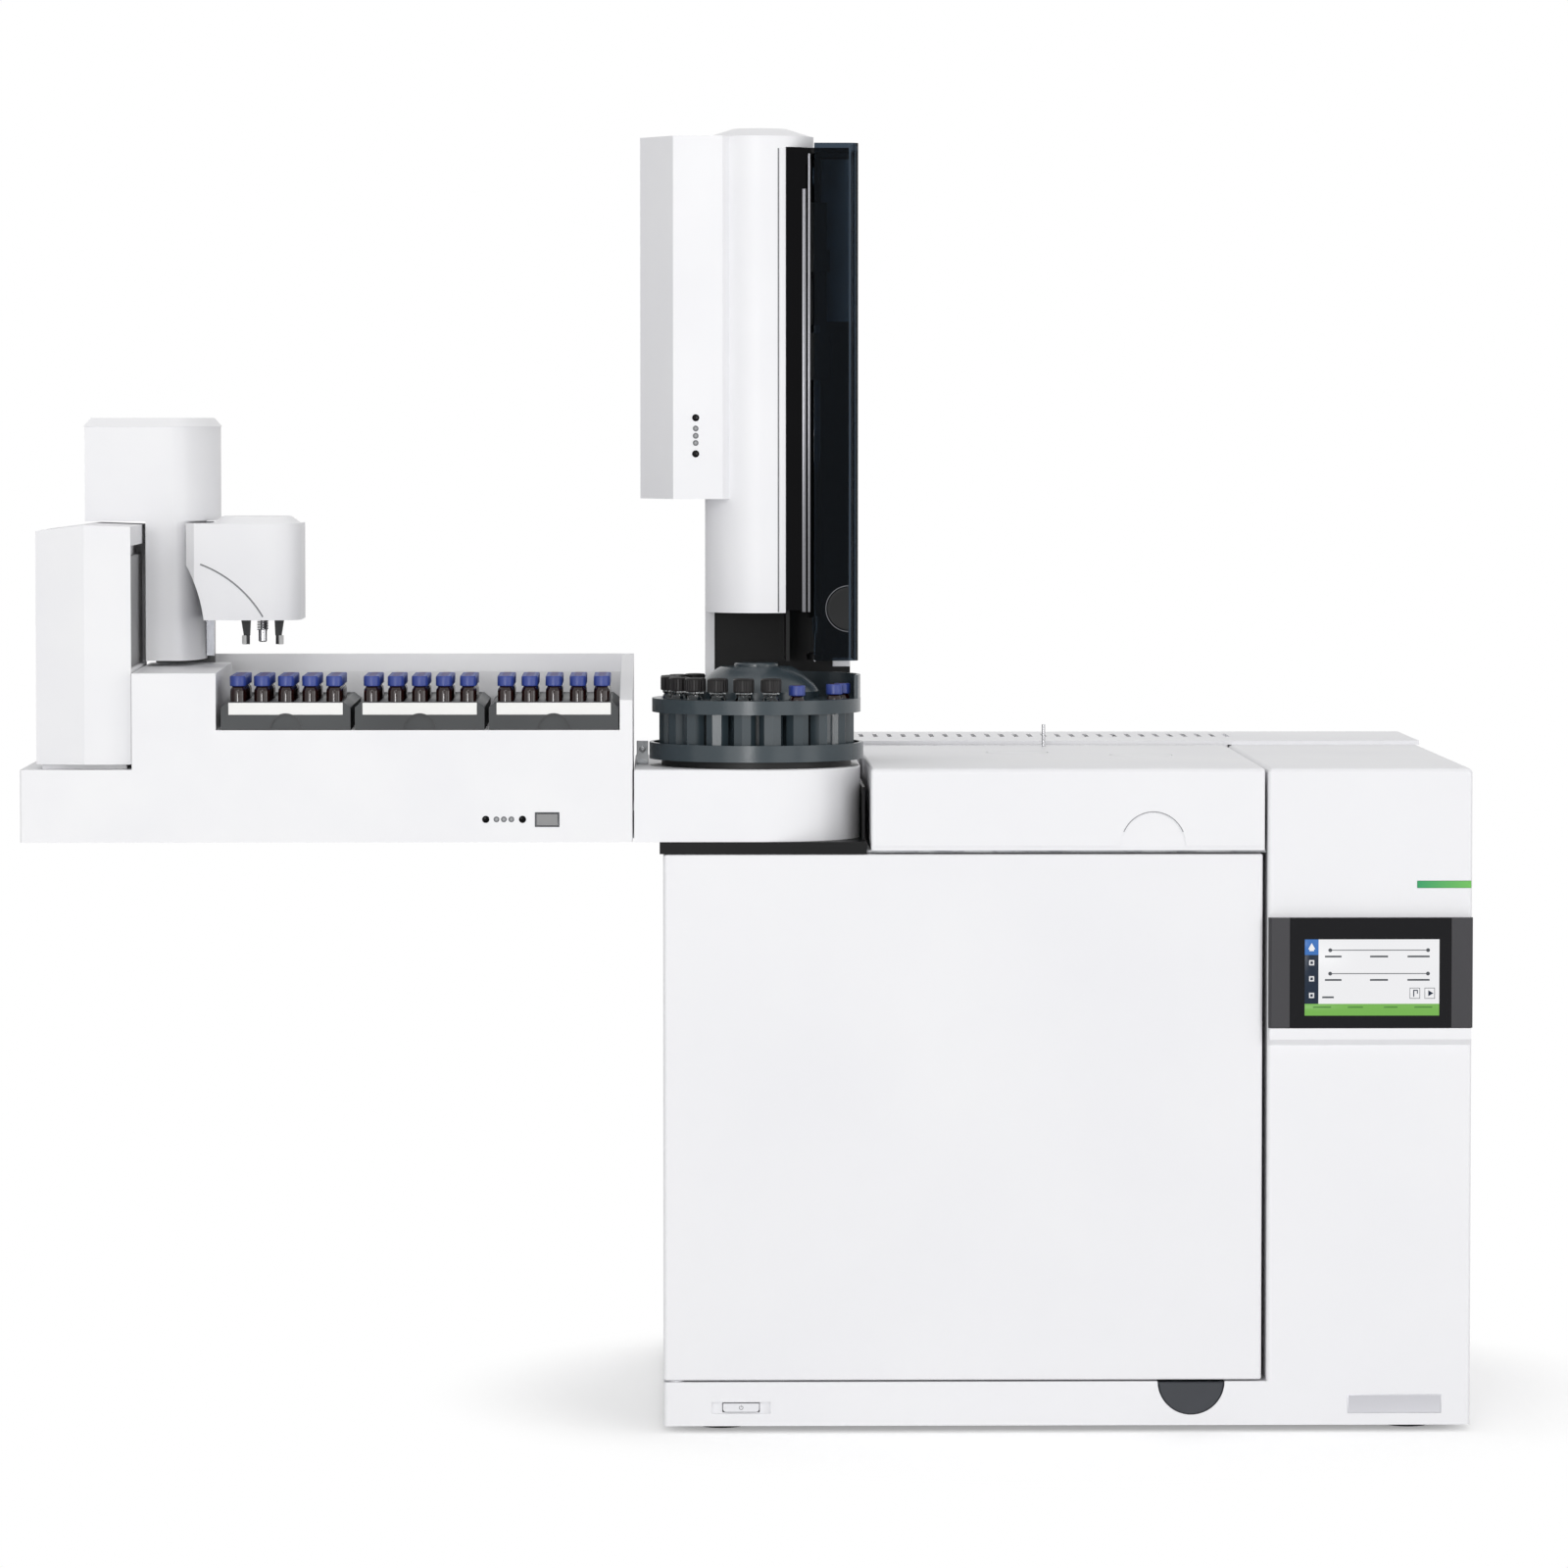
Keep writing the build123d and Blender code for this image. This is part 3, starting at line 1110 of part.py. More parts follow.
with BuildPart() as tray_carriage:
    block(column_x0 + 2, carriage_x1, carriage_y, carriage_y + carriage_plate, rail_z + rail_high + 0.3,
          hood_bottom - 3)
    block(column_x0 + 2, carriage_x1, carriage_y + carriage_plate, rail_y + rail_thick / 2 + 6, rail_z + 2,
          rail_z + rail_high + 12)
    block(column_x0 + 2, carriage_x1, rail_y - rail_thick / 2 - 0.3, rail_y + rail_thick / 2 + 0.3,
          rail_z + 2, rail_z + rail_high + 0.3, Mode.SUBTRACT)
    for z in (rod_low, rod_high):
        rod_back(rod_x, z, carriage_y + carriage_plate, carriage_y + carriage_plate + 16, rod_radius + 4)
        rod_back(rod_x, z, carriage_y, carriage_y + carriage_plate + 16, rod_radius + rod_fit, Mode.SUBTRACT)
save(tray_carriage.part, "tray_carriage")

# Head: a moulded cover that narrows to the lower left, with a pocket for the gripper fingers.
head_x0 = hood_x1 - 19.0
head_x1 = head_x0 + 83.3
head_front = front + 100.0
head_back = gantry_back - 16.0
head_bottom = tier_top + 104.6
head_top = hood_bottom - 1.5
gripper_x = head_x0 + 53.6
gripper_y = head_front + 45.0
finger_reach = 12.3  # finger from the gripper's axis
finger_width = 7.0
finger_depth = 8.0
finger_stroke = 4.5
finger_length = 18.8
pocket_height = 14.0
with BuildPart() as gantry_head:
    with BuildSketch(Plane.XY.offset(head_bottom)) as head_plan:
        with BuildLine():
            Polyline((head_x0, head_front + 4), (head_x0 + 6, head_front), (head_x1 - 20, head_front))
            CenterArc((head_x1 - 20, head_front + 20), 20, -90, 90)
            Polyline((head_x1, head_front + 20), (head_x1, head_back), (guide_x1 + slider_gap, head_back),
                     (guide_x1 + slider_gap, head_front + 48), (head_x0, head_front + 28),
                     (head_x0, head_front + 4))
        make_face()
    extrude(amount=head_top - head_bottom)
    with BuildSketch(Plane.XY.offset(head_top)) as crown_base:
        with Locations(((head_x0 + 18 + head_x1 - 2) / 2, (head_front + head_back) / 2)):
            RectangleRounded(head_x1 - head_x0 - 20, head_back - head_front - 6, 18)
    extrude(amount=5, taper=55)
    with BuildSketch(Plane.XZ.offset(-(head_front - 1))):
        with BuildLine():
            Line((head_x0 - 1, head_bottom - 1), (head_x0 - 1, head_bottom + 42))
            RadiusArc((head_x0 - 1, head_bottom + 42), (head_x0 + 13, head_bottom - 1), 110)
            Line((head_x0 + 13, head_bottom - 1), (head_x0 - 1, head_bottom - 1))
        make_face()
    extrude(amount=-(head_back - head_front + 2), mode=Mode.SUBTRACT)
    pocket_reach = finger_reach + finger_width / 2 + clearance
    block(gripper_x - pocket_reach, gripper_x + pocket_reach, gripper_y - finger_depth / 2 - 0.3,
          gripper_y + finger_depth / 2 + 0.3, head_bottom, head_bottom + pocket_height, Mode.SUBTRACT)
    block(guide_x1 + slider_gap, guide_x1 + 7, head_back, gantry_back - 2, head_bottom + 6, head_top - 4)
save(gantry_head.part, "gantry_head")

for side, name in ((-1, "finger_left"), (1, "finger_right")):
    finger_x = gripper_x + side * finger_reach
    with BuildPart() as finger:
        block(finger_x - finger_width / 2, finger_x + finger_width / 2, gripper_y - finger_depth / 2,
              gripper_y + finger_depth / 2, head_bottom, head_bottom + pocket_height - 0.3)
        with BuildSketch(Plane.XY.offset(head_bottom)):
            with Locations((finger_x, gripper_y)):
                Rectangle(finger_width, finger_depth)
        with BuildSketch(Plane.XY.offset(head_bottom - finger_length * 0.65)):
            with Locations((finger_x - side * 0.7, gripper_y)):
                Rectangle(4.6, 5.5)
        loft()
        rod(finger_x - side * 0.7, gripper_y, head_bottom - finger_length,
            head_bottom - finger_length * 0.65, 2.1)
    save(finger.part, name)

with BuildPart() as gripper_plunger:
    rod(gripper_x, gripper_y, head_bottom - 8, head_bottom + pocket_height - 6, 1.6)
    rod(gripper_x, gripper_y, head_bottom - 17, head_bottom - 8, 3.2)
    rod(gripper_x, gripper_y, head_bottom + 0.5, head_bottom + 2, 4)
    chamfer(gripper_plunger.edges().group_by(Axis.Z)[0], 0.8)
save(gripper_plunger.part, "gripper_plunger")

# ---- racks and vials ----------------------------------------------------------------------------
rack_x0 = well_x0 + 3.6
flange_top = well_floor + rack_height
pocket_y = front + 13.0
rack_floor = 2.0
plate_thick = 3.0
for rack_index in range(rack_count):
    left = rack_x0 + rack_index * rack_pitch
    middle = left + rack_width / 2
    grid_y = pocket_y + (vial_rows - 1) * vial_pitch / 2
    filled_y = pocket_y + (filled_rows - 1) * vial_pitch / 2
    with BuildPart() as rack:
        with BuildSketch(Plane.XZ.offset(-(front + 1))):
            with BuildLine():
                Polyline((left, well_floor + 0.3), (left + rack_width, well_floor + 0.3),
                         (left + rack_width, flange_top - 6), (left + rack_width - 5, flange_top - 2),
                         (left + 5, flange_top - 2), (left, flange_top - 6), close=True)
            make_face()
        extrude(amount=-rack_depth)
        block(left + 2, left + rack_width - 2, front + 3, front + rack_depth - 1,
              well_floor + 0.3 + rack_floor, flange_top - 2 - plate_thick, Mode.SUBTRACT)
        with BuildSketch(Plane.XY.offset(flange_top - 2 - plate_thick)):
            with Locations((middle, grid_y)):
                with GridLocations(vial_pitch, vial_pitch, vial_columns, vial_rows):
                    RegularPolygon(pocket_radius, 6)
        extrude(amount=plate_thick, mode=Mode.SUBTRACT)
        with BuildSketch(Plane.XZ.offset(-(front + 1))):
            with Locations((middle, well_floor + 0.3)):
                Circle(11)
                Rectangle(22, 11, align=(Align.CENTER, Align.MAX), mode=Mode.SUBTRACT)
        extrude(amount=-1.2, mode=Mode.SUBTRACT)
    save(rack.part, f"rack_{rack_index + 1}")
    with BuildPart() as vials:
        vial_base = well_floor + 0.3 + rack_floor + 0.1
        for radius, low, high in ((vial_radius, vial_base, vial_base + vial_body),
                                  (vial_cap_radius, vial_base + vial_body,
                                   vial_base + vial_body + vial_cap)):
            with BuildSketch(Plane.XY.offset(low)):
                with Locations((middle, filled_y)):
                    with GridLocations(vial_pitch, vial_pitch, vial_columns, filled_rows):
                        RegularPolygon(radius, 8)
            extrude(amount=high - low)
    save(vials.part, f"vials_{rack_index + 1}")
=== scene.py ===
"""Looks of the gas chromatograph: finishes for its built parts, and small pieces added to them.

Places are metres in the frame of the built model, X to the right, Y to the back, Z up.
Sizes inside the pieces are millimetres times MM.
"""

from math import asin, cos, radians, sin

import bmesh
import bpy
from mathutils import Matrix, Vector


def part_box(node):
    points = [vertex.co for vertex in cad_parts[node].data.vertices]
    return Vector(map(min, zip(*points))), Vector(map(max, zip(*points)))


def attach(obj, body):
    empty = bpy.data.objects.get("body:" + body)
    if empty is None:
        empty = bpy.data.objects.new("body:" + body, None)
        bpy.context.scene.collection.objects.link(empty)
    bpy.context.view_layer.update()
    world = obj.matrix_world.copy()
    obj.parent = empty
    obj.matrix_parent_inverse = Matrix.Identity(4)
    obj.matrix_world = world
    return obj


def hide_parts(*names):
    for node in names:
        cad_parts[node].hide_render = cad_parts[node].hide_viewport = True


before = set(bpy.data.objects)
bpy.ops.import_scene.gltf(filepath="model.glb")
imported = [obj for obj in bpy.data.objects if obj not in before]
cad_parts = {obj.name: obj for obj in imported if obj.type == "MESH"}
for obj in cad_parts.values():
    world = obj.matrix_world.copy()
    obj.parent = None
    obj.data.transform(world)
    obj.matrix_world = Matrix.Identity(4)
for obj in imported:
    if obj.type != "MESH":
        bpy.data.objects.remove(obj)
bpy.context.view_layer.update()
MM = 0.001
SAME_POINT = 0.001 * MM


# ---- shader helpers --------------------------------------------------------------------------
def linear(code):
    """A hex colour as it looks on a screen, turned to the linear values that shaders take."""
    shares = [int(code[place:place + 2], 16) / 255 for place in (1, 3, 5)]
    return [s / 12.92 if s <= 0.04045 else ((s + 0.055) / 1.055) ** 2.4 for s in shares] + [1.0]


def add_node(tree, kind, settings=None, values=None, links=None):
    """Add one shader node with its settings, its socket values and the outputs linked into it."""
    added = tree.nodes.new(kind)
    for name, setting in (settings or {}).items():
        setattr(added, name, setting)
    for socket, value in (values or {}).items():
        added.inputs[socket].default_value = value
    for socket, source in (links or {}).items():
        tree.links.new(source, added.inputs[socket])
    return added


def new_finish(name):
    """An empty material with its shader and the coordinates that its patterns read."""
    finish = bpy.data.materials.new(name)
    finish.use_nodes = True
    tree = finish.node_tree
    shader = tree.nodes["Principled BSDF"]
    place = add_node(tree, "ShaderNodeTexCoord").outputs["Object"]
    return finish, tree, shader, place


def two_tone(tree, place, size, first, second):
    """A soft cloudy mix of two close colours, with patches of a size in millimetres."""
    cloud = add_node(tree, "ShaderNodeTexNoise", values={"Scale": 1 / (size * MM), "Detail": 3.0},
                     links={"Vector": place})
    spread = add_node(tree, "ShaderNodeMapRange",
                      values={"From Min": 0.25, "From Max": 0.75},
                      links={"Value": cloud.outputs["Fac"]})
    mixed = add_node(tree, "ShaderNodeMix", {"data_type": "RGBA"},
                     {"A": linear(first), "B": linear(second)},
                     {"Factor": spread.outputs["Result"]})
    return mixed.outputs["Result"], spread.outputs["Result"]


def relief(tree, shader, height, depth, strength=0.5):
    """Raise the surface by a pattern, to a depth in millimetres."""
    bump = add_node(tree, "ShaderNodeBump", values={"Strength": strength, "Distance": depth * MM},
                    links={"Height": height})
    tree.links.new(bump.outputs["Normal"], shader.inputs["Normal"])


def uneven_gloss(tree, shader, pattern, low, high):
    """Let the roughness wander between two values with a pattern."""
    gloss = add_node(tree, "ShaderNodeMapRange", values={"To Min": low, "To Max": high},
                     links={"Value": pattern})
    tree.links.new(gloss.outputs["Result"], shader.inputs["Roughness"])


def moulded_plastic(name, colour, shade, grain, roughness, ior=1.5):
    """Injection-moulded plastic: a spark-eroded grain, a little coarse, and uneven gloss."""
    finish, tree, shader, place = new_finish(name)
    tone, patches = two_tone(tree, place, 90, colour, shade)
    tree.links.new(tone, shader.inputs["Base Color"])
    pits = add_node(tree, "ShaderNodeTexNoise", values={"Scale": 1 / (grain * MM), "Detail": 2.0},
                    links={"Vector": place})
    relief(tree, shader, pits.outputs["Fac"], grain * 0.06, 0.35)
    uneven_gloss(tree, shader, patches, roughness - 0.04, roughness + 0.05)
    shader.inputs["IOR"].default_value = ior
    return finish


def powder_coat(name, colour, shade, ior=1.5):
    """Powder-coated sheet steel: the low orange-peel waves of baked paint over a satin gloss."""
    finish, tree, shader, place = new_finish(name)
    tone, patches = two_tone(tree, place, 160, colour, shade)
    tree.links.new(tone, shader.inputs["Base Color"])
    waves = add_node(tree, "ShaderNodeTexNoise", values={"Scale": 1 / (2.2 * MM), "Detail": 1.0},
                     links={"Vector": place})
    specks = add_node(tree, "ShaderNodeTexNoise", values={"Scale": 1 / (0.5 * MM)},
                      links={"Vector": place})
    both = add_node(tree, "ShaderNodeMath", {"operation": "MULTIPLY_ADD"}, {1: 0.35},
                    {0: specks.outputs["Fac"], 2: waves.outputs["Fac"]})
    relief(tree, shader, both.outputs["Value"], 0.05, 0.3)
    uneven_gloss(tree, shader, patches, 0.36, 0.44)
    shader.inputs["IOR"].default_value = ior
    return finish


def brushed_metal(name, colour, shade, roughness, stretch, pitch=0.6):
    """Metal with the fine scratches of a belt or a lathe, longest where the stretch is least."""
    finish, tree, shader, place = new_finish(name)
    drawn = add_node(tree, "ShaderNodeMapping", values={"Scale": stretch},
                     links={"Vector": place})
    lines = add_node(tree, "ShaderNodeTexNoise",
                     values={"Scale": 1 / (pitch * MM), "Detail": 3.0},
                     links={"Vector": drawn.outputs["Vector"]})
    mixed = add_node(tree, "ShaderNodeMix", {"data_type": "RGBA"},
                     {"A": linear(colour), "B": linear(shade)}, {"Factor": lines.outputs["Fac"]})
    tree.links.new(mixed.outputs["Result"], shader.inputs["Base Color"])
    relief(tree, shader, lines.outputs["Fac"], 0.02, 0.4)
    uneven_gloss(tree, shader, lines.outputs["Fac"], roughness - 0.08, roughness + 0.1)
    shader.inputs["Metallic"].default_value = 1.0
    return finish


def spangled_zinc(name, colour, shade):
    """Hot-dipped galvanised steel: flat crystals of zinc about 9 mm across, each its own grey."""
    finish, tree, shader, place = new_finish(name)
    crystals = add_node(tree, "ShaderNodeTexVoronoi", values={"Scale": 1 / (9 * MM)},
                        links={"Vector": place})
    split = add_node(tree, "ShaderNodeSeparateColor", links={"Color": crystals.outputs["Color"]})
    mixed = add_node(tree, "ShaderNodeMix", {"data_type": "RGBA"},
                     {"A": linear(colour), "B": linear(shade)}, {"Factor": split.outputs["Red"]})
    tree.links.new(mixed.outputs["Result"], shader.inputs["Base Color"])
    uneven_gloss(tree, shader, split.outputs["Green"], 0.34, 0.5)
    relief(tree, shader, crystals.outputs["Distance"], 0.05, 0.2)
    shader.inputs["Metallic"].default_value = 0.9
    return finish


def clear_material(name, colour, roughness, ior, transmission, coat=0.0):
    """Glass or acrylic seen through its own tint, with faint wiping marks in its gloss."""
    finish, tree, shader, place = new_finish(name)
    shader.inputs["Base Color"].default_value = linear(colour)
    wipes = add_node(tree, "ShaderNodeTexNoise", values={"Scale": 1 / (35 * MM), "Detail": 4.0},
                     links={"Vector": place})
    uneven_gloss(tree, shader, wipes.outputs["Fac"], max(roughness - 0.02, 0.0), roughness + 0.04)
    shader.inputs["IOR"].default_value = ior
    shader.inputs["Transmission Weight"].default_value = transmission
    shader.inputs["Coat Weight"].default_value = coat
    return finish


def lit_display(name, colour, strength, grid=0.35):
    """A backlit liquid-crystal area, its grid of cells coarse enough to show close up."""
    finish, tree, shader, place = new_finish(name)
    cells = add_node(tree, "ShaderNodeTexChecker", values={"Scale": 1 / (grid * MM)},
                     links={"Vector": place})
    softened = add_node(tree, "ShaderNodeMapRange", values={"To Min": 0.94, "To Max": 1.0},
                        links={"Value": cells.outputs["Fac"]})
    shaded = add_node(tree, "ShaderNodeMix", {"data_type": "RGBA", "blend_type": "MULTIPLY"},
                      {"Factor": 1.0, "A": linear(colour)}, {"B": softened.outputs["Result"]})
    tree.links.new(shaded.outputs["Result"], shader.inputs["Emission Color"])
    shader.inputs["Emission Strength"].default_value = strength
    shader.inputs["Base Color"].default_value = linear("#1A1A1C")
    shader.inputs["Roughness"].default_value = 0.25
    shader.inputs["IOR"].default_value = 1.25
    return finish


# ---- finishes --------------------------------------------------------------------------------
shell_white = powder_coat("powder_coated_steel_white", "#EEEEF0", "#EAEAED")
door_white = powder_coat("powder_coated_door_white", "#EDEDEF", "#E9E9EC")
cover_white = moulded_plastic("moulded_ABS_white", "#EFEFF1", "#EBEBEE", 0.5, 0.42)
tray_white = moulded_plastic("moulded_ABS_tray_white", "#EFEFF0", "#EAEAED", 0.6, 0.44)
tower_white = moulded_plastic("moulded_ABS_tower_white", "#F0F0F2", "#ECECEF", 0.5, 0.4)
turret_grey = moulded_plastic("moulded_PBT_slate_grey", "#343F45", "#2E393F", 0.45, 0.24)
rack_grey = moulded_plastic("moulded_PP_rack_grey", "#2B2F31", "#26292B", 0.6, 0.45)
# Dark grey for the arc at the top of each rack's grip recess, which is painted shade.
rack_grip_shade = moulded_plastic("painted_shade_rack_grip_grey", "#1C1F21", "#181B1D", 0.6, 0.4)
pull_grey = moulded_plastic("moulded_nylon_pull_grey", "#141517", "#101112", 0.5, 0.45, 1.3)
latch_grey = moulded_plastic("moulded_nylon_latch_grey", "#2D3037", "#272A30", 0.5, 0.4)
bezel_grey = moulded_plastic("moulded_ABS_bezel_grey", "#2C2B30", "#27262A", 0.4, 0.4)
carriage_grey = moulded_plastic("moulded_acetal_dark_grey", "#1C1E21", "#17191B", 0.4, 0.38)
chassis_black = moulded_plastic("glass_filled_nylon_black", "#0B0B0C", "#070708", 0.5, 0.5, 1.3)
socket_black = moulded_plastic("moulded_nylon_socket_black", "#101112", "#0B0B0C", 0.4, 0.45, 1.4)
park_grey = moulded_plastic("moulded_button_grey", "#8A8A8A", "#808082", 0.4, 0.45)
button_white = moulded_plastic("moulded_button_white", "#E9E9EC", "#E2E2E6", 0.4, 0.4)
cap_blue = moulded_plastic("moulded_PP_cap_blue", "#2F4390", "#293B84", 0.5, 0.35)
cap_black = moulded_plastic("moulded_phenolic_cap_black", "#141112", "#0E0C0D", 0.5, 0.42, 1.4)
tip_white = moulded_plastic("turned_PTFE_white", "#E6E6E4", "#DCDCDA", 0.4, 0.5)
septum_red = moulded_plastic("silicone_septum_dull_red", "#553038", "#4C2A32", 0.4, 0.6)
paper_white = moulded_plastic("paper_label_white", "#F4F4F2", "#ECECE9", 0.3, 0.75)
gloss_black = clear_material("polished_acrylic_black", "#050507", 0.1, 1.16, 0.0)
screen_black = clear_material("cover_glass_black", "#141417", 0.1, 1.25, 0.0)
smoke_tint = clear_material("tinted_polycarbonate_smoke", "#3C4854", 0.05, 1.13, 0.95)
clear_glass = clear_material("borosilicate_glass_clear", "#F2F5F5", 0.02, 1.48, 1.0)
amber_glass = clear_material("borosilicate_glass_amber", "#220805", 0.04, 1.38, 0.2, 0.4)
lamp_lens = clear_material("diffused_lamp_lens_grey", "#A9ABAD", 0.3, 1.49, 0.2)
dark_bracket = powder_coat("powder_coated_bracket_grey", "#0C0D0E", "#090A0B", 1.25)
galvanised = spangled_zinc("galvanised_steel", "#B9BBBD", "#A2A5A8")
stainless = brushed_metal("brushed_stainless_steel", "#B9B9B6", "#9D9D9A", 0.3, (1.0, 1.0, 30.0))
polished_steel = brushed_metal("ground_steel_rod", "#CFCFD1", "#B8B8BB", 0.16,
                               (8.0, 1.0, 8.0), 0.8)
rod_steel = brushed_metal("hardened_steel_rod_grey", "#75767A", "#626367", 0.3,
                          (8.0, 1.0, 8.0), 0.8)
needle_steel = brushed_metal("drawn_steel_pin", "#C4C4C6", "#A9A9AC", 0.22, (8.0, 8.0, 1.0), 0.5)
strip_silver = brushed_metal("anodised_aluminium_strip", "#808084", "#6E6E72", 0.28,
                             (8.0, 8.0, 0.6))
plate_silver = brushed_metal("anodised_aluminium_plate", "#BFBFC3", "#AFAFB4", 0.42,
                             (0.8, 1.0, 14.0))
brass = brushed_metal("turned_brass", "#C2A15A", "#A88846", 0.28, (6.0, 1.0, 6.0), 0.5)
heater_dark = brushed_metal("sheathed_heater_alloy", "#5A544E", "#413D39", 0.5,
                            (1.0, 3.0, 1.0), 1.2)
gasket_black = moulded_plastic("silicone_gasket_black", "#232426", "#1B1C1D", 0.8, 0.6)
feet_rubber = moulded_plastic("rubber_foot_black", "#1A1A1B", "#121213", 0.9, 0.75)
groove_dark = moulded_plastic("shadow_groove_grey", "#77787C", "#6B6C70", 0.5, 0.6)
# Grey for the head's parting line, a dark joint, and for the line along the lid's grip recess,
# which is painted shade.
seam_and_shade_grey = moulded_plastic("parting_line_and_painted_shade_grey", "#8A8A8E", "#808084", 0.5, 0.6)
backing_blue = moulded_plastic("satin_backing_sheet_blue_grey", "#E2EEF6", "#D8E6F0", 0.5, 0.5)
lit_white = lit_display("display_area_white", "#F2F2F4", 0.97)
lit_navy = lit_display("display_bar_navy", "#12253A", 0.9)
lit_blue = lit_display("display_tile_blue", "#3C74BE", 0.95)
lit_green = lit_display("display_bar_green", "#78B750", 0.95)
bar_caption = lit_display("display_caption_green", "#4E8A35", 0.9)
lit_grey = lit_display("display_line_grey", "#54585D", 0.8)


def wound_copper():
    """Fused-silica column wound on its basket: turns 0.9 mm apart, dark brown, with a lighter
    brown painted on the crown of each turn as a painted highlight.
    """
    finish, tree, shader, place = new_finish("wound_column_brown")
    turns = add_node(tree, "ShaderNodeTexWave", {"bands_direction": "Y"},
                     {"Scale": 1 / (0.9 * MM) / 20, "Distortion": 0.4, "Detail": 1.0},
                     {"Vector": place})
    # The lighter brown follows the raised crown of each turn: a painted highlight.
    mixed = add_node(tree, "ShaderNodeMix", {"data_type": "RGBA"},
                     {"A": linear("#5A2E18"), "B": linear("#A8683C")},
                     {"Factor": turns.outputs["Fac"]})
    tree.links.new(mixed.outputs["Result"], shader.inputs["Base Color"])
    relief(tree, shader, turns.outputs["Fac"], 0.4, 0.8)
    shader.inputs["Roughness"].default_value = 0.28
    shader.inputs["Metallic"].default_value = 0.35
    return finish


def fading_green():
    """Light guide behind a matt film, from a blue green at its left end to a leaf green."""
    low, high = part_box("status_strip")
    finish, tree, shader, place = new_finish("light_guide_green")
    across = add_node(tree, "ShaderNodeSeparateXYZ", links={"Vector": place})
    share = add_node(tree, "ShaderNodeMapRange", values={"From Min": low.x, "From Max": high.x},
                     links={"Value": across.outputs["X"]})
    ramp = add_node(tree, "ShaderNodeMix", {"data_type": "RGBA"},
                    {"A": linear("#1F8F58"), "B": linear("#64B04E")},
                    {"Factor": share.outputs["Result"]})
    specks = add_node(tree, "ShaderNodeTexNoise", values={"Scale": 1 / (0.7 * MM)},
                      links={"Vector": place})
    tree.links.new(ramp.outputs["Result"], shader.inputs["Base Color"])
    tree.links.new(ramp.outputs["Result"], shader.inputs["Emission Color"])
    shader.inputs["Emission Strength"].default_value = 0.12
    shader.inputs["Roughness"].default_value = 0.4
    relief(tree, shader, specks.outputs["Fac"], 0.03, 0.3)
    return finish


copper_coil = wound_copper()
strip_green = fading_green()

node_finishes = (
    (shell_white, ("base_pan", "side_panel", "electronics_cover", "top_cover", "detector_lid")),
    (door_white, ("door_skin",)),
    (cover_white, ("injector_housing",)),
    (tray_white, ("tray_base", "tray_deck", "tray_pillar", "gantry_column", "gantry_head")),
    (tower_white, ("tower_body",)),
    (galvanised, ("rear_panel", "door_liner", "tray_chassis", "top_deck")),
    (stainless, ("oven_liner", "fan_shroud", "oven_fan", "detectors")),
    (rod_steel, ("gantry_rods",)),
    (polished_steel, ("column_cage",)),
    (needle_steel, ("vent_pin", "syringe", "gripper_plunger")),
    (feet_rubber, ("feet",)),
    (gasket_black, ("door_gasket",)),
    (dark_bracket, ("sampler_mount",)),
    (turret_grey, ("turret",)),
    (rack_grey, ("rack_1", "rack_2", "rack_3")),
    (latch_grey, ("oven_latch",)),
    (button_white, ("power_button",)),
    (park_grey, ("park_button", "tray_rail")),
    (chassis_black, ("tower_chassis",)),
    (gloss_black, ("tower_guides",)),
    (screen_black, ("screen_glass",)),
    (bezel_grey, ("screen_bezel",)),
    (strip_green, ("status_strip",)),
    (smoke_tint, ("tower_door",)),
    (copper_coil, ("column_coil",)),
    (brass, ("gas_fittings", "inlets")),
    (heater_dark, ("oven_heater",)),
    (carriage_grey, ("syringe_carriage", "plunger_carriage", "tray_carriage", "finger_left",
                     "finger_right", "fan_motor")),
    (socket_black, ("power_inlet", "turret_seat")),
)
for finish, covered in node_finishes:
    for name in covered:
        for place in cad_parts[name].material_slots:
            place.material = finish


# ---- modelling helpers -----------------------------------------------------------------------
def start_clean():
    """Nothing selected, so that the next operator acts on the new piece alone."""
    bpy.ops.object.select_all(action="DESELECT")


def raised(name, sides, steps):
    """A round piece at the origin, raised ring by ring: each step is its radius and height."""
    start_clean()
    radius, height = steps[0]
    bpy.ops.mesh.primitive_circle_add(vertices=sides, radius=radius * MM, fill_type="NGON",
                                      location=(0, 0, height * MM))
    piece = bpy.context.object
    piece.name = name
    bpy.ops.object.transform_apply(location=True)
    bpy.ops.object.mode_set(mode="EDIT")
    bpy.ops.mesh.select_all(action="SELECT")
    for next_radius, next_height in steps[1:]:
        bpy.ops.mesh.extrude_region_move(
            TRANSFORM_OT_translate={"value": (0, 0, (next_height - height) * MM)})
        share = next_radius / radius
        bpy.ops.transform.resize(value=(share, share, 1),
                                 center_override=(0, 0, next_height * MM))
        radius, height = next_radius, next_height
    bpy.ops.mesh.select_all(action="SELECT")
    bpy.ops.mesh.remove_doubles(threshold=SAME_POINT)
    bpy.ops.mesh.normals_make_consistent(inside=False)
    bpy.ops.object.mode_set(mode="OBJECT")
    return piece


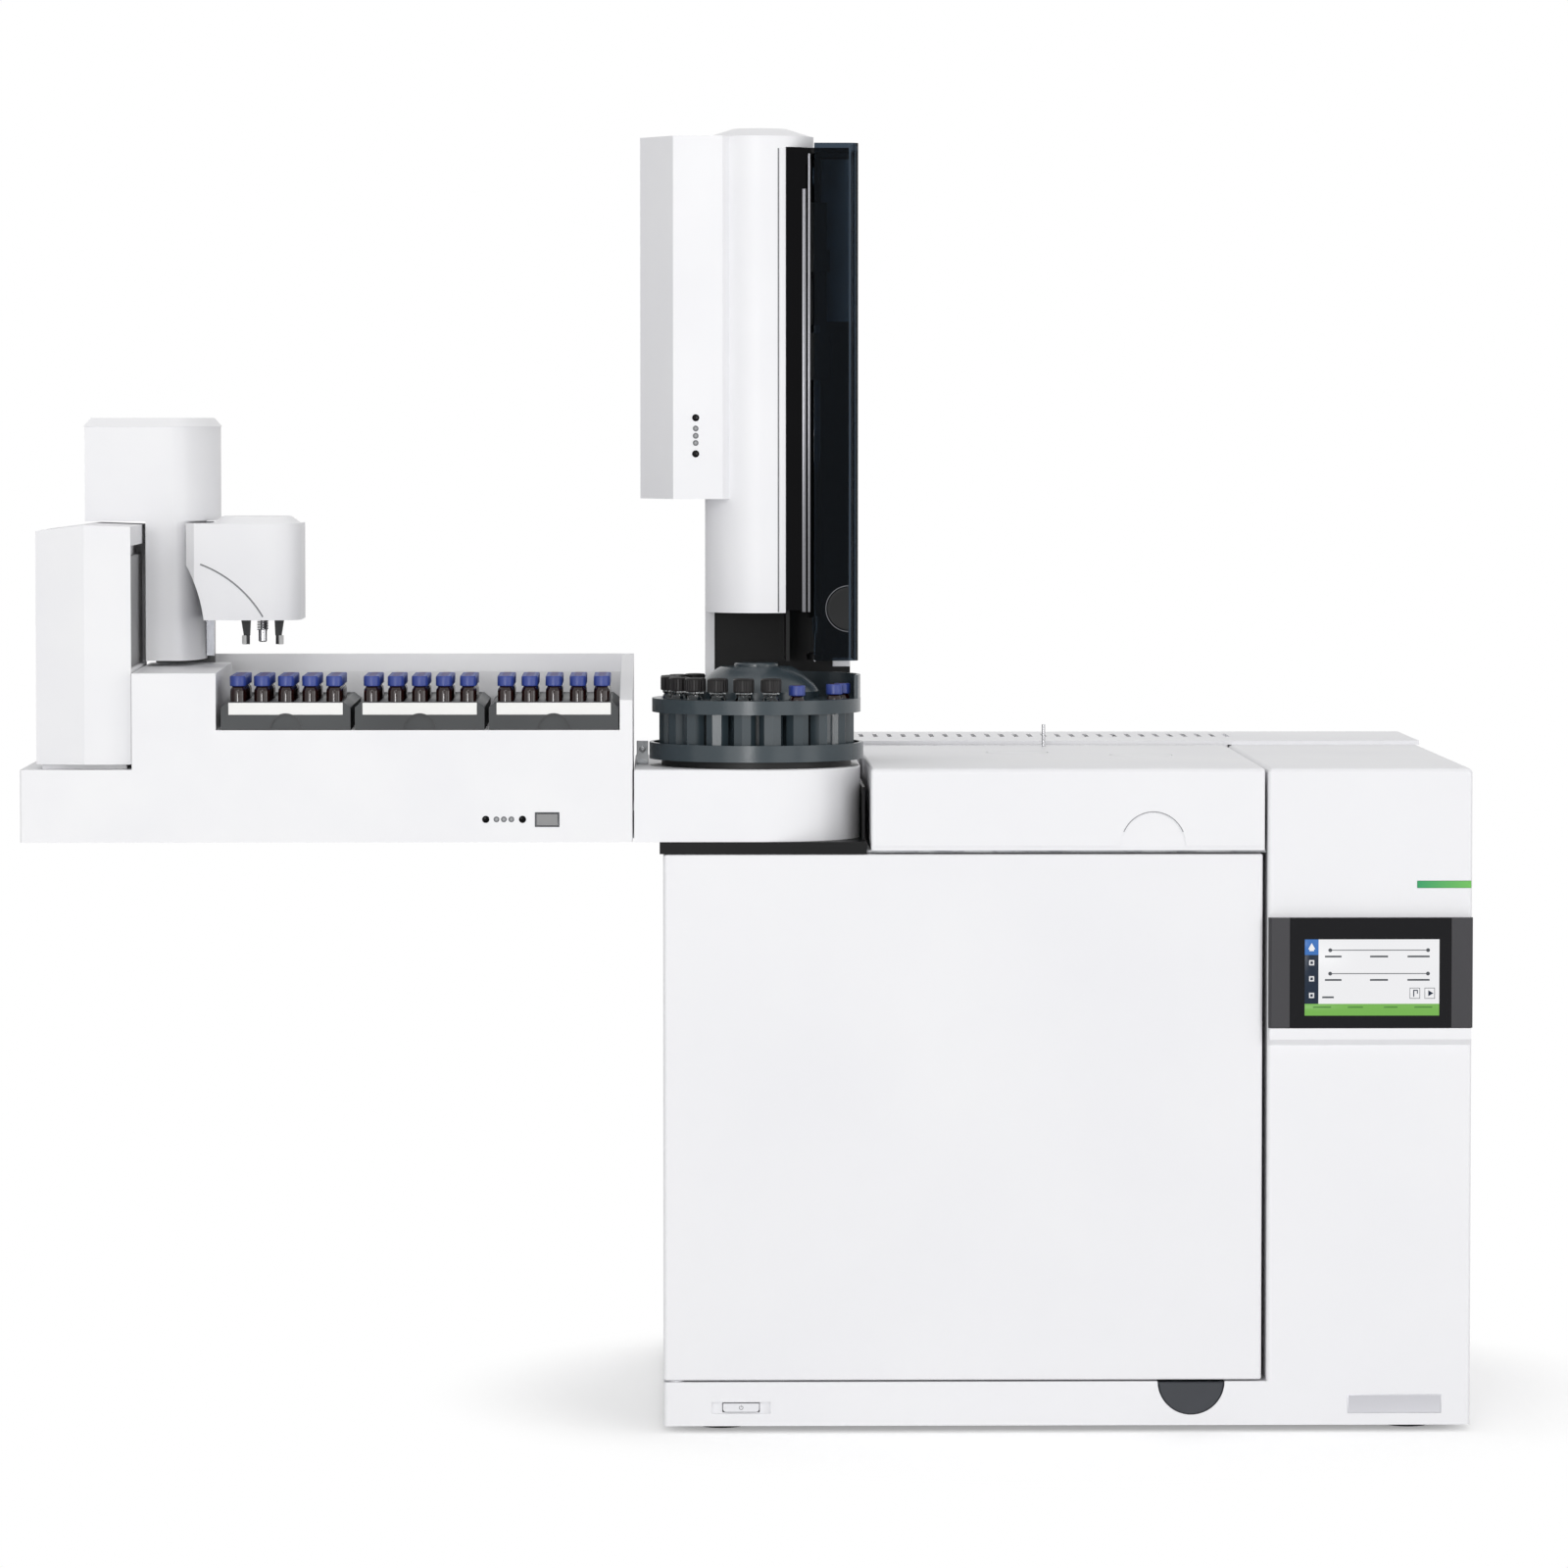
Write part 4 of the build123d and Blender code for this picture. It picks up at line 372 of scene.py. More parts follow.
def slab(name, low, high, edge, inset=0.0, sink=0.0):
    """A plate between two corners, its edges rounded, its front face inset and sunk if asked."""
    start_clean()
    low, high = Vector(low), Vector(high)
    bpy.ops.mesh.primitive_cube_add(size=1, location=(low + high) / 2, scale=high - low)
    piece = bpy.context.object
    piece.name = name
    bpy.ops.object.transform_apply(location=True, rotation=True, scale=True)
    bpy.ops.object.mode_set(mode="EDIT")
    bpy.ops.mesh.select_all(action="SELECT")
    bpy.ops.mesh.bevel(offset=edge * MM, segments=2, affect="EDGES")
    if inset:
        bpy.ops.mesh.select_all(action="DESELECT")
        shape = bmesh.from_edit_mesh(piece.data)
        front = min(shape.faces, key=lambda face: (round(face.normal.y, 3), -face.calc_area()))
        front.select = True
        bmesh.update_edit_mesh(piece.data)
        bpy.ops.mesh.inset(thickness=inset * MM)
        bpy.ops.transform.translate(value=(0, sink * MM, 0))
    bpy.ops.object.mode_set(mode="OBJECT")
    return piece


def put(piece, *turns_and_places):
    """Turn and place a piece in its mesh, so that its object stays at the origin."""
    for change in turns_and_places:
        piece.data.transform(change)
    piece.data.update()
    return piece


def to_front(piece, x, y, z):
    """Turn a piece that was raised upwards to face the front, and put it at a point."""
    return put(piece, Matrix.Rotation(radians(90), 4, "X"), Matrix.Translation((x, y, z)))


def coat(piece, finish):
    """Give a piece one finish."""
    piece.data.materials.clear()
    piece.data.materials.append(finish)
    return piece


def twin_of(piece):
    """A copy of a piece with a mesh of its own."""
    twin = piece.copy()
    twin.data = piece.data.copy()
    bpy.context.scene.collection.objects.link(twin)
    return twin


def copies(piece, places):
    """Copies of a piece at other places."""
    return [put(twin_of(piece), Matrix.Translation(place)) for place in places]


def joined(name, pieces):
    """Several meshes made one object."""
    start_clean()
    for piece in pieces:
        piece.select_set(True)
    bpy.context.view_layer.objects.active = pieces[0]
    if len(pieces) > 1:
        bpy.ops.object.join()
    whole = bpy.context.view_layer.objects.active
    whole.name = name
    return whole


def smooth(piece, angle=35):
    """Round faces shade smoothly, and sharper corners stay crisp."""
    start_clean()
    piece.select_set(True)
    bpy.context.view_layer.objects.active = piece
    bpy.ops.object.shade_smooth_by_angle(angle=radians(angle))
    return piece


def arc_band(name, radius, width, thick, start, sweep, steps, finish):
    """A flat curved strip in the XY plane, its section spun through an angle in degrees."""
    start_clean()
    bpy.ops.mesh.primitive_cube_add(size=1, location=(radius * MM, 0, thick * MM / 2),
                                    scale=(width * MM, 0.3 * MM, thick * MM))
    band = bpy.context.object
    band.name = name
    bpy.ops.object.transform_apply(location=True, rotation=True, scale=True)
    bpy.ops.object.mode_set(mode="EDIT")
    bpy.ops.mesh.select_all(action="DESELECT")
    section = bmesh.from_edit_mesh(band.data)
    for face in section.faces:
        face.select = face.normal.y > 0.9
    bmesh.update_edit_mesh(band.data)
    bpy.ops.mesh.spin(steps=steps, angle=radians(-sweep), center=(0, 0, 0), axis=(0, 0, 1))
    bpy.ops.mesh.select_all(action="SELECT")
    bpy.ops.mesh.remove_doubles(threshold=SAME_POINT)
    bpy.ops.mesh.normals_make_consistent(inside=False)
    bpy.ops.object.mode_set(mode="OBJECT")
    return coat(put(band, Matrix.Rotation(radians(start), 4, "Z")), finish)


def rim(name, width, height, border, thick, finish):
    """A thin rectangular frame in the XY plane, about the origin."""
    start_clean()
    bpy.ops.mesh.primitive_plane_add(size=1)
    frame_piece = bpy.context.object
    frame_piece.name = name
    frame_piece.scale = (width * MM, height * MM, 1)
    bpy.ops.object.transform_apply(scale=True)
    bpy.ops.object.mode_set(mode="EDIT")
    bpy.ops.mesh.select_all(action="SELECT")
    bpy.ops.mesh.inset(thickness=border * MM)
    bpy.ops.mesh.delete(type="FACE")
    bpy.ops.object.mode_set(mode="OBJECT")
    wall = frame_piece.modifiers.new("wall", "SOLIDIFY")
    wall.thickness = thick * MM
    wall.offset = 1.0
    bpy.ops.object.modifier_apply(modifier="wall")
    return coat(frame_piece, finish)


def fit(piece, body):
    """Shade a finished piece smoothly and let it ride on its body."""
    smooth(piece)
    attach(piece, body)
    return piece


# ---- sample vials and turret bottles ---------------------------------------------------------
vial_glass = coat(raised("vial_glass", 12, (
    (5.0, 0), (5.75, 0.8), (5.85, 2.0), (5.85, 25.0), (5.6, 26.5), (4.7, 27.9), (4.4, 28.7),
    (5.0, 29.0), (5.0, 30.0))), amber_glass)
vial_cap = coat(raised("vial_cap", 12, (
    (5.6, 28.9), (6.0, 29.4), (6.05, 35.4), (5.7, 36.3), (3.3, 36.35))), cap_blue)
septum = coat(raised("septum", 12, ((3.1, 36.0), (3.1, 36.4), (2.6, 36.4))), septum_red)
sample_vial = joined("sample_vial", [vial_glass, vial_cap, septum])

pitch = 17.3 * MM
for number in (1, 2, 3):
    node = f"vials_{number}"
    low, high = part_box(node)
    middle = (low + high) / 2
    spots = [(middle.x + column * pitch, middle.y + row * pitch, low.z)
             for column in range(-2, 3) for row in range(-2, 3)]
    batch = joined(f"rack_{number}_sample_vials", copies(sample_vial, spots))
    fit(batch, f"rack_{number}")
    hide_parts(node)

low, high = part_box("turret")
turret_axis = (low + high) / 2
pitch_radius = 63 * MM
first_position = -81
position_step = 360 / 20


def turret_spot(position, z):
    """The middle of one of the turret's twenty bottle positions, counted clockwise."""
    angle = radians(first_position - position * position_step)
    return (turret_axis.x + pitch_radius * cos(angle),
            turret_axis.y + pitch_radius * sin(angle), z)


low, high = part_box("turret_vials")
vial_stand = 15.2 * MM
spots = [turret_spot(position, low.z + vial_stand) for position in (16, 17, 19)]
turret_vials = joined("turret_sample_vials", copies(sample_vial, spots))
fit(turret_vials, "turret")
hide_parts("turret_vials")

bottle_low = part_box("turret_bottles")[0]
bottle_glass = coat(raised("wash_bottle_glass", 16, (
    (5.6, 0), (6.6, 0.8), (6.8, 2.2), (6.8, 38.2), (6.3, 41.2), (5.2, 43.2), (5.0, 44.4),
    (6.0, 45.0), (6.0, 47.0))), clear_glass)
bottle_cap = raised("wash_bottle_cap", 24, (
    (7.0, 46.6), (7.5, 47.2), (7.5, 55.6), (6.9, 56.6), (4.6, 56.8), (4.4, 56.2)))
start_clean()
bottle_cap.select_set(True)
bpy.context.view_layer.objects.active = bottle_cap
bpy.ops.object.mode_set(mode="EDIT")
bpy.ops.mesh.select_all(action="DESELECT")
cap_shape = bmesh.from_edit_mesh(bottle_cap.data)
least_wall = 12 * MM * MM
for face in cap_shape.faces:
    if abs(face.normal.z) < 0.2 and face.calc_area() > least_wall:
        face.select = True
bmesh.update_edit_mesh(bottle_cap.data)
bpy.ops.mesh.inset(thickness=0.3 * MM, depth=-0.25 * MM, use_individual=True)
bpy.ops.object.mode_set(mode="OBJECT")
coat(bottle_cap, cap_black)
wash_bottle = joined("wash_bottle", [bottle_glass, bottle_cap])
spots = [turret_spot(position, bottle_low.z) for position in range(9)]
wash_bottles = joined("turret_wash_bottles", copies(wash_bottle, spots))
fit(wash_bottles, "turret")
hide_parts("turret_bottles")
for pattern_piece in (sample_vial, wash_bottle):
    bpy.data.objects.remove(pattern_piece)

# ---- status lamps ----------------------------------------------------------------------------
lamp_ring = coat(raised("lamp_ring", 20, (
    (2.1, -1.0), (2.1, 0.15), (1.9, 0.35), (1.35, 0.35), (1.3, 0.0))), groove_dark)
lamp_dome = coat(raised("lamp_dome", 20, (
    (1.3, -0.8), (1.3, 0.1), (1.0, 0.35), (0.5, 0.45))), lamp_lens)
status_lamp = joined("status_lamp", [lamp_ring, lamp_dome])
sensor_window = coat(raised("sensor_window", 24, (
    (2.6, -1.0), (2.6, 0.15), (2.3, 0.4), (1.4, 0.5))), gloss_black)


def lamp_row(name, body, dots, lamps, y, turn):
    """A row of two dark windows and three lamps on a front face."""
    fitted = []
    for pattern, spots in ((sensor_window, dots), (status_lamp, lamps)):
        for x, z in spots:
            fitted.append(put(twin_of(pattern), Matrix.Rotation(radians(90), 4, "X"),
                              Matrix.Rotation(turn, 4, "Z"), Matrix.Translation((x, y, z))))
    return fit(joined(name, fitted), body)


tray_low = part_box("tray_base")[0]
lamp_z = tray_low.z + 16.5 * MM
lamp_row("tray_status_lamps", "mainframe",
         [(tray_low.x + 334.2 * MM, lamp_z), (tray_low.x + 360.6 * MM, lamp_z)],
         [(tray_low.x + x * MM, lamp_z) for x in (341.9, 347.2, 352.6)], tray_low.y, 0)
tower_low, tower_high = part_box("tower_body")
lamp_x = tower_low.x + 40.4 * MM
facet_turn = radians(-7.9)
lamp_row("tower_status_lamps", "mainframe",
         [(lamp_x, tower_low.z + z * MM) for z in (252.5, 226.3)],
         [(lamp_x, tower_low.z + z * MM) for z in (244.7, 239.4, 234.2)],
         tower_low.y + 2.6 * MM, facet_turn)
for pattern_piece in (status_lamp, sensor_window):
    bpy.data.objects.remove(pattern_piece)

# ---- base: blank plate and power symbol ------------------------------------------------------
base_low, base_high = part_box("base_pan")
plate = slab("blank_plate",
             (base_high.x - 88.7 * MM, base_low.y - 0.3 * MM, base_low.z + 8.5 * MM),
             (base_high.x - 20.9 * MM, base_low.y + 0.4 * MM, base_low.z + 22.1 * MM),
             edge=0.12, inset=0.8, sink=0.06)
fit(coat(plate, plate_silver), "mainframe")

button_low, button_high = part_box("power_button")
button_middle = (button_low + button_high) / 2
power_ring = arc_band("power_ring", radius=1.35, width=0.32, thick=0.08, start=125, sweep=290,
                      steps=20, finish=latch_grey)
power_bar = slab("power_bar", (-0.16 * MM, 0.3 * MM, 0.0), (0.16 * MM, 1.9 * MM, 0.08 * MM),
                 edge=0.02)
power_symbol = joined("power_symbol", [power_ring, power_bar])
to_front(power_symbol, button_middle.x, button_low.y - 0.02 * MM, button_middle.z)
fit(coat(power_symbol, latch_grey), "power")

park_low, park_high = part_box("park_button")
park_rim = rim("park_button_rim", width=17.6, height=10.6, border=0.9, thick=0.3,
               finish=latch_grey)
to_front(park_rim, (park_low.x + park_high.x) / 2, tray_low.y, (park_low.z + park_high.z) / 2)
fit(park_rim, "mainframe")

# The grip of the lid is a little taller than it is wide, so its line is a stretched arc. The grey
# line is painted shade along the upper edge of the grip's recess.
grip_half_width = 23.5
grip_height = 24.7
lid_grip_shade_line = arc_band("lid_grip_painted_shade", radius=grip_half_width, width=0.55, thick=0.12, start=25,
                    sweep=130, steps=36, finish=seam_and_shade_grey)
put(lid_grip_shade_line, Matrix.Diagonal((1, grip_height / grip_half_width, 1, 1)))
lid_low, lid_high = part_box("detector_lid")
to_front(lid_grip_shade_line, lid_high.x - 80.4 * MM, lid_low.y, lid_low.z + 3 * MM)
fit(lid_grip_shade_line, "lid")

# ---- labels and grips of the racks -----------------------------------------------------------
for number in (1, 2, 3):
    low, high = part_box(f"rack_{number}")
    strip = slab(f"rack_{number}_label", (low.x + 5.5 * MM, low.y - 0.35 * MM, high.z - 9.2 * MM),
                 (high.x - 5.5 * MM, low.y + 0.3 * MM, high.z - 0.6 * MM),
                 edge=0.1, inset=0.7, sink=0.06)
    fit(coat(strip, paper_white), f"rack_{number}")
    # A dark arc along the top inside edge of each grip recess: painted shade under the recess's
    # upper edge.
    arch = arc_band(f"rack_{number}_grip_painted_shade", radius=11.2, width=1.3, thick=0.55, start=2,
                    sweep=176, steps=24, finish=rack_grip_shade)
    to_front(arch, (low.x + high.x) / 2, low.y + 0.05 * MM, low.z)
    fit(arch, f"rack_{number}")

# ---- trims of the tower bay ------------------------------------------------------------------
guide_low, guide_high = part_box("tower_guides")
strip_foot = guide_low.z + 6.0 * MM
trim = slab("bay_trim_wide", (guide_low.x + 11.2 * MM, guide_low.y - 1.0 * MM, strip_foot),
            (guide_low.x + 14.0 * MM, guide_low.y + 0.2 * MM, guide_high.z - 29.5 * MM),
            edge=0.35, inset=0.5, sink=-0.2)
fit(coat(trim, strip_silver), "mainframe")
trim = slab("bay_trim_narrow", (guide_low.x + 15.4 * MM, guide_low.y + 0.5 * MM, strip_foot),
            (guide_low.x + 17.2 * MM, guide_low.y + 1.7 * MM, guide_high.z - 4.0 * MM),
            edge=0.25)
fit(coat(trim, strip_silver), "mainframe")

# The white jamb beside the bay, with the dark parting line on its left, both on the round column.
chassis_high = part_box("tower_chassis")[1]
strip_top = chassis_high.z - 0.5 * MM
column_radius = 39.5 * MM
column_x = tower_high.x - column_radius
column_y = tower_low.y + column_radius


def column_strip(name, offset, width, thick, proud, finish):
    """An upright strip that lies on the front of the round column, beside its middle."""
    turn = asin(offset * MM / column_radius)
    strip = slab(name, (-width * MM / 2, -proud * MM, strip_foot),
                 (width * MM / 2, (thick - proud) * MM, strip_top), min(width, thick) * 0.2)
    put(strip, Matrix.Translation((0, -column_radius, 0)), Matrix.Rotation(turn, 4, "Z"),
        Matrix.Translation((column_x, column_y, 0)))
    return fit(coat(strip, finish), "mainframe")


column_strip("bay_jamb", offset=16.3, width=4.6, thick=1.4, proud=0.5, finish=cover_white)
column_strip("bay_parting_line", offset=13.3, width=0.9, thick=0.8, proud=0.12,
             finish=latch_grey)

bay_back = guide_high.y + 0.1 * MM
backing = slab("bay_backing_sheet",
               (chassis_high.x - 21.5 * MM, bay_back - 0.8 * MM, chassis_high.z - 125.3 * MM),
               (chassis_high.x - 0.3 * MM, bay_back, chassis_high.z - 5.8 * MM), edge=0.1)
fit(coat(backing, backing_blue), "mainframe")
door_low, door_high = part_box("tower_door")
corner = slab("bay_corner_block",
              (chassis_high.x - 13.0 * MM, bay_back, door_low.z - 6.9 * MM),
              (chassis_high.x - 0.2 * MM, bay_back + 4.0 * MM, door_low.z - 0.5 * MM),
              edge=0.5, inset=0.8, sink=0.15)
fit(coat(corner, cover_white), "mainframe")

# Finger pull of the tinted door: a half-round pad in its recess, with a grey edge round it that
# is painted shade along the rim of the recess.
pull_x = door_high.x - 7.0 * MM
pull_y = door_low.y
pull_z = door_low.z + 38.0 * MM
pull = raised("door_finger_pull", 48, ((15.6, 0.0), (15.6, 0.5), (15.0, 0.62), (13.6, 0.45)))
bpy.ops.object.mode_set(mode="EDIT")
bpy.ops.mesh.select_all(action="SELECT")
bpy.ops.mesh.bisect(plane_co=(-0.1 * MM, 0, 0), plane_no=(1, 0, 0), clear_outer=True,
                    use_fill=True)
bpy.ops.object.mode_set(mode="OBJECT")
to_front(coat(pull, pull_grey), pull_x, pull_y + 0.8 * MM, pull_z)
fit(pull, "tower_door")
# Grey arc round the pad: painted shade along the rim of the recess.
edge = arc_band("door_finger_pull_painted_shade", radius=16.7, width=0.5, thick=0.25, start=92,
                sweep=176, steps=36, finish=groove_dark)
to_front(edge, pull_x, pull_y + 0.02 * MM, pull_z)
fit(edge, "tower_door")

# Steel bracket with its screw, on the injector housing beside the turret.
housing_low, housing_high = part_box("injector_housing")
bracket_low = Vector((housing_low.x + 1.5 * MM, housing_low.y + 84 * MM,
                      housing_high.z - 0.2 * MM))
bracket = slab("side_bracket", bracket_low,
               bracket_low + Vector((8.4, 3.0, 17.2)) * MM, edge=0.4, inset=1.2, sink=0.3)
foot = slab("side_bracket_foot", bracket_low,
            bracket_low + Vector((8.4, 13.5, 1.8)) * MM, edge=0.3)
bracket_screw = raised("side_bracket_screw", 16, (
    (2.4, -0.5), (2.4, 0.6), (2.0, 1.1), (1.1, 1.3), (0.9, 0.7)))
to_front(bracket_screw, bracket_low.x + 4.2 * MM, bracket_low.y + 0.3 * MM,
         housing_high.z + 11 * MM)
fit(coat(joined("side_bracket", [bracket, foot, bracket_screw]), galvanised), "mainframe")

# ---- screen ----------------------------------------------------------------------------------
glass_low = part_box("screen_glass")[0]
shown_left = glass_low.x + 10.6 * MM
shown_bottom = glass_low.z + 8.8 * MM
shown_width = 97.0
shown_height = 55.0
menu_width = 9.9
bar_height = 8.5
home_bottom = shown_height - 11.2
roof_foot = shown_height - 5.6


def tile(name, x0, x1, z0, z1, layer, finish, edge=0.02):
    """A flat area of the display, in millimetres from its lower left corner."""
    face = glass_low.y - (0.06 + 0.03 * layer) * MM
    piece = slab(name, (shown_left + x0 * MM, face, shown_bottom + z0 * MM),
                 (shown_left + x1 * MM, glass_low.y + 0.1 * MM, shown_bottom + z1 * MM), edge)
    return coat(piece, finish)


areas = [tile("display_page", menu_width, shown_width, bar_height, shown_height, 0, lit_white),
         tile("display_menu", 0, menu_width, bar_height, shown_height, 0, lit_navy),
         tile("display_status_bar", 0, shown_width, 0, bar_height, 0, lit_green),
         tile("display_home", 0, menu_width, home_bottom, shown_height, 1, lit_blue)]
for z in (47.2, 30.3):
    areas.append(tile("display_line", 18.3, 88.8, z - 0.3, z + 0.3, 1, lit_grey))
    for x in (18.3, 88.8):
        dot = coat(raised("display_dot", 16, ((1.4, -0.1), (1.4, 0.08), (1.2, 0.1))), lit_grey)
        areas.append(to_front(dot, shown_left + x * MM, glass_low.y - 0.06 * MM,
                              shown_bottom + z * MM))
    for x, width in ((14.5, 12), (47, 13), (74, 16)):
        areas.append(tile("display_caption", x, x + width, z - 5.2, z - 3.9, 1, lit_grey))
for z in (38.2, 26.6, 14.6):
    areas.append(tile("display_icon", 3.0, 6.9, z - 2.0, z + 2.0, 1, lit_white, 0.3))
    areas.append(tile("display_icon_core", 3.8, 6.1, z - 1.2, z + 1.2, 2, lit_navy, 0.3))
for x in (75.5, 86.2):
    areas.append(tile("display_key", x, x + 7.8, 12.0, 20.2, 1, lit_grey, 0.3))
    areas.append(tile("display_key_face", x + 0.4, x + 7.4, 12.4, 19.8, 2, lit_white, 0.3))
areas.append(tile("display_house", 3.3, 6.6, roof_foot - 2.8, roof_foot, 2, lit_white))
areas.append(tile("display_gauge", 78.2, 79.0, 13.6, 18.6, 3, lit_navy))
areas.append(tile("display_gauge_cap", 78.2, 81.6, 17.8, 18.6, 3, lit_navy))
areas.append(tile("display_gauge_side", 80.9, 81.6, 15.8, 18.6, 3, lit_navy))
areas.append(tile("display_time", 12.6, 21.0, 12.6, 13.9, 1, lit_grey))
for x, width in ((6, 13), (31, 11), (57, 10), (79, 13)):
    areas.append(tile("display_bar_caption", x, x + width, 5.6, 6.6, 1, bar_caption))
home = coat(raised("display_roof", 3, ((3.0, -0.1), (3.0, 0.08), (2.8, 0.1))), lit_white)
areas.append(to_front(home, shown_left + menu_width / 2 * MM, glass_low.y - 0.08 * MM,
                      shown_bottom + roof_foot * MM))
arrow = coat(raised("display_play", 3, ((2.5, -0.1), (2.5, 0.08), (2.4, 0.1))), lit_navy)
put(arrow, Matrix.Rotation(radians(-90), 4, "Z"))
areas.append(to_front(arrow, shown_left + 90.3 * MM, glass_low.y - 0.13 * MM,
                      shown_bottom + 16.1 * MM))
fit(joined("display", areas), "mainframe")

# ---- gantry head: curved seam and plunger spring ---------------------------------------------
head_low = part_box("gantry_head")[0]
seam = arc_band("head_parting_line", radius=88.3, width=1.2, thick=0.25, start=30.2,
                sweep=39.3, steps=30, finish=seam_and_shade_grey)
to_front(seam, head_low.x - 20.3 * MM, head_low.y + 0.05 * MM, head_low.z - 41.8 * MM)
fit(seam, "head")
for side in ("left", "right"):
    low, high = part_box(f"finger_{side}")
    tip = raised(f"finger_{side}_tip", 20, ((1.7, -0.05), (2.3, 0.4), (2.35, 6.1), (2.15, 6.6)))
    tip_x = low.x + 2.8 * MM if side == "left" else high.x - 2.8 * MM
    put(coat(tip, tip_white), Matrix.Translation((tip_x, (low.y + high.y) / 2, low.z)))
    fit(tip, f"{side}_finger")
plunger_low, plunger_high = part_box("gripper_plunger")
plunger_middle = (plunger_low + plunger_high) / 2
spring_turns = 7
spring_pitch = 1.15 * MM
spring_radius = 3.9 * MM
wire_radius = 0.35 * MM
start_clean()
bpy.ops.mesh.primitive_circle_add(vertices=8, radius=wire_radius,
                                  location=(spring_radius, 0, 0), rotation=(radians(90), 0, 0))
spring = bpy.context.object
spring.name = "plunger_spring"
bpy.ops.object.transform_apply(location=True, rotation=True, scale=True)
coil = spring.modifiers.new("coil", "SCREW")
coil.axis = "Z"
coil.screw_offset = spring_pitch
coil.iterations = spring_turns
coil.steps = 16
coil.render_steps = 16
bpy.ops.object.modifier_apply(modifier="coil")
bpy.ops.object.mode_set(mode="EDIT")
bpy.ops.mesh.select_all(action="SELECT")
bpy.ops.mesh.remove_doubles(threshold=SAME_POINT)
bpy.ops.mesh.fill_holes(sides=8)
bpy.ops.mesh.normals_make_consistent(inside=False)
bpy.ops.object.mode_set(mode="OBJECT")
put(spring, Matrix.Translation((plunger_middle.x, plunger_middle.y, head_low.z - 8.6 * MM)))
fit(coat(spring, needle_steel), "gripper_plunger")

# ---- screws of the rear panel ----------------------------------------------------------------
screw = raised("panel_screw", 16, (
    (3.4, -1.2), (3.4, 0.4), (2.9, 1.2), (1.7, 1.5), (1.3, 1.5), (1.2, 0.7)))
coat(screw, needle_steel)
rear_low, rear_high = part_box("rear_panel")
spots = []
for x in (rear_low.x + 22 * MM, (rear_low.x + rear_high.x) / 2, rear_high.x - 22 * MM):
    for z in (rear_low.z + 14 * MM, rear_high.z - 14 * MM):
        spots.append((x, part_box("side_panel")[1].y, z))
put(screw, Matrix.Rotation(radians(-90), 4, "X"))
fit(joined("rear_panel_screws", copies(screw, spots)), "mainframe")
bpy.data.objects.remove(screw)

# ---- floor, light and camera -----------------------------------------------------------------
def seen_directly(tree):
    """One for what is seen, also in a reflection or through glass, and zero for lighting."""
    rays = add_node(tree, "ShaderNodeLightPath")
    seen = rays.outputs["Is Camera Ray"]
    for kind in ("Is Glossy Ray", "Is Transmission Ray"):
        seen = add_node(tree, "ShaderNodeMath", {"operation": "MAXIMUM"},
                        links={0: seen, 1: rays.outputs[kind]}).outputs["Value"]
    return seen


start_clean()
bpy.ops.mesh.primitive_plane_add(size=60, location=(0, 20, 0))
bpy.ops.object.transform_apply(location=True)
floor = bpy.context.object
floor.name = "studio_floor"
floor_finish, tree, shader, place = new_finish("studio_floor_white")
shader.inputs["Base Color"].default_value = linear("#F4F4F4")
shader.inputs["Roughness"].default_value = 0.9
shader.inputs["Specular IOR Level"].default_value = 0.1
paper_lift = 0.27
seen = seen_directly(tree)
lift = add_node(tree, "ShaderNodeMath", {"operation": "MULTIPLY"}, {1: paper_lift}, {0: seen})
glow = add_node(tree, "ShaderNodeEmission", values={"Color": (1, 1, 1, 1)},
                links={"Strength": lift.outputs["Value"]})
near = add_node(tree, "ShaderNodeAddShader",
                links={0: shader.outputs["BSDF"], 1: glow.outputs["Emission"]})
paper = add_node(tree, "ShaderNodeEmission", values={"Color": (1, 1, 1, 1), "Strength": 1.0})
shadow_middle = ((base_low.x + base_high.x) / 2, -0.05, 0.0)
shadow_starts_to_fade = 0.32
shadow_ends = 0.48
from_base = add_node(tree, "ShaderNodeVectorMath", {"operation": "DISTANCE"},
                     {1: shadow_middle}, {0: place})
fade = add_node(tree, "ShaderNodeMapRange", {"interpolation_type": "SMOOTHSTEP"},
                {"From Min": shadow_starts_to_fade, "From Max": shadow_ends},
                {"Value": from_base.outputs["Value"]})
share = add_node(tree, "ShaderNodeMath", {"operation": "MULTIPLY"},
                 links={0: fade.outputs["Result"], 1: seen})
whole = add_node(tree, "ShaderNodeMixShader",
                 links={0: share.outputs["Value"], 1: near.outputs["Shader"],
                        2: paper.outputs["Emission"]})
tree.links.new(whole.outputs["Shader"], tree.nodes["Material Output"].inputs["Surface"])
coat(floor, floor_finish)

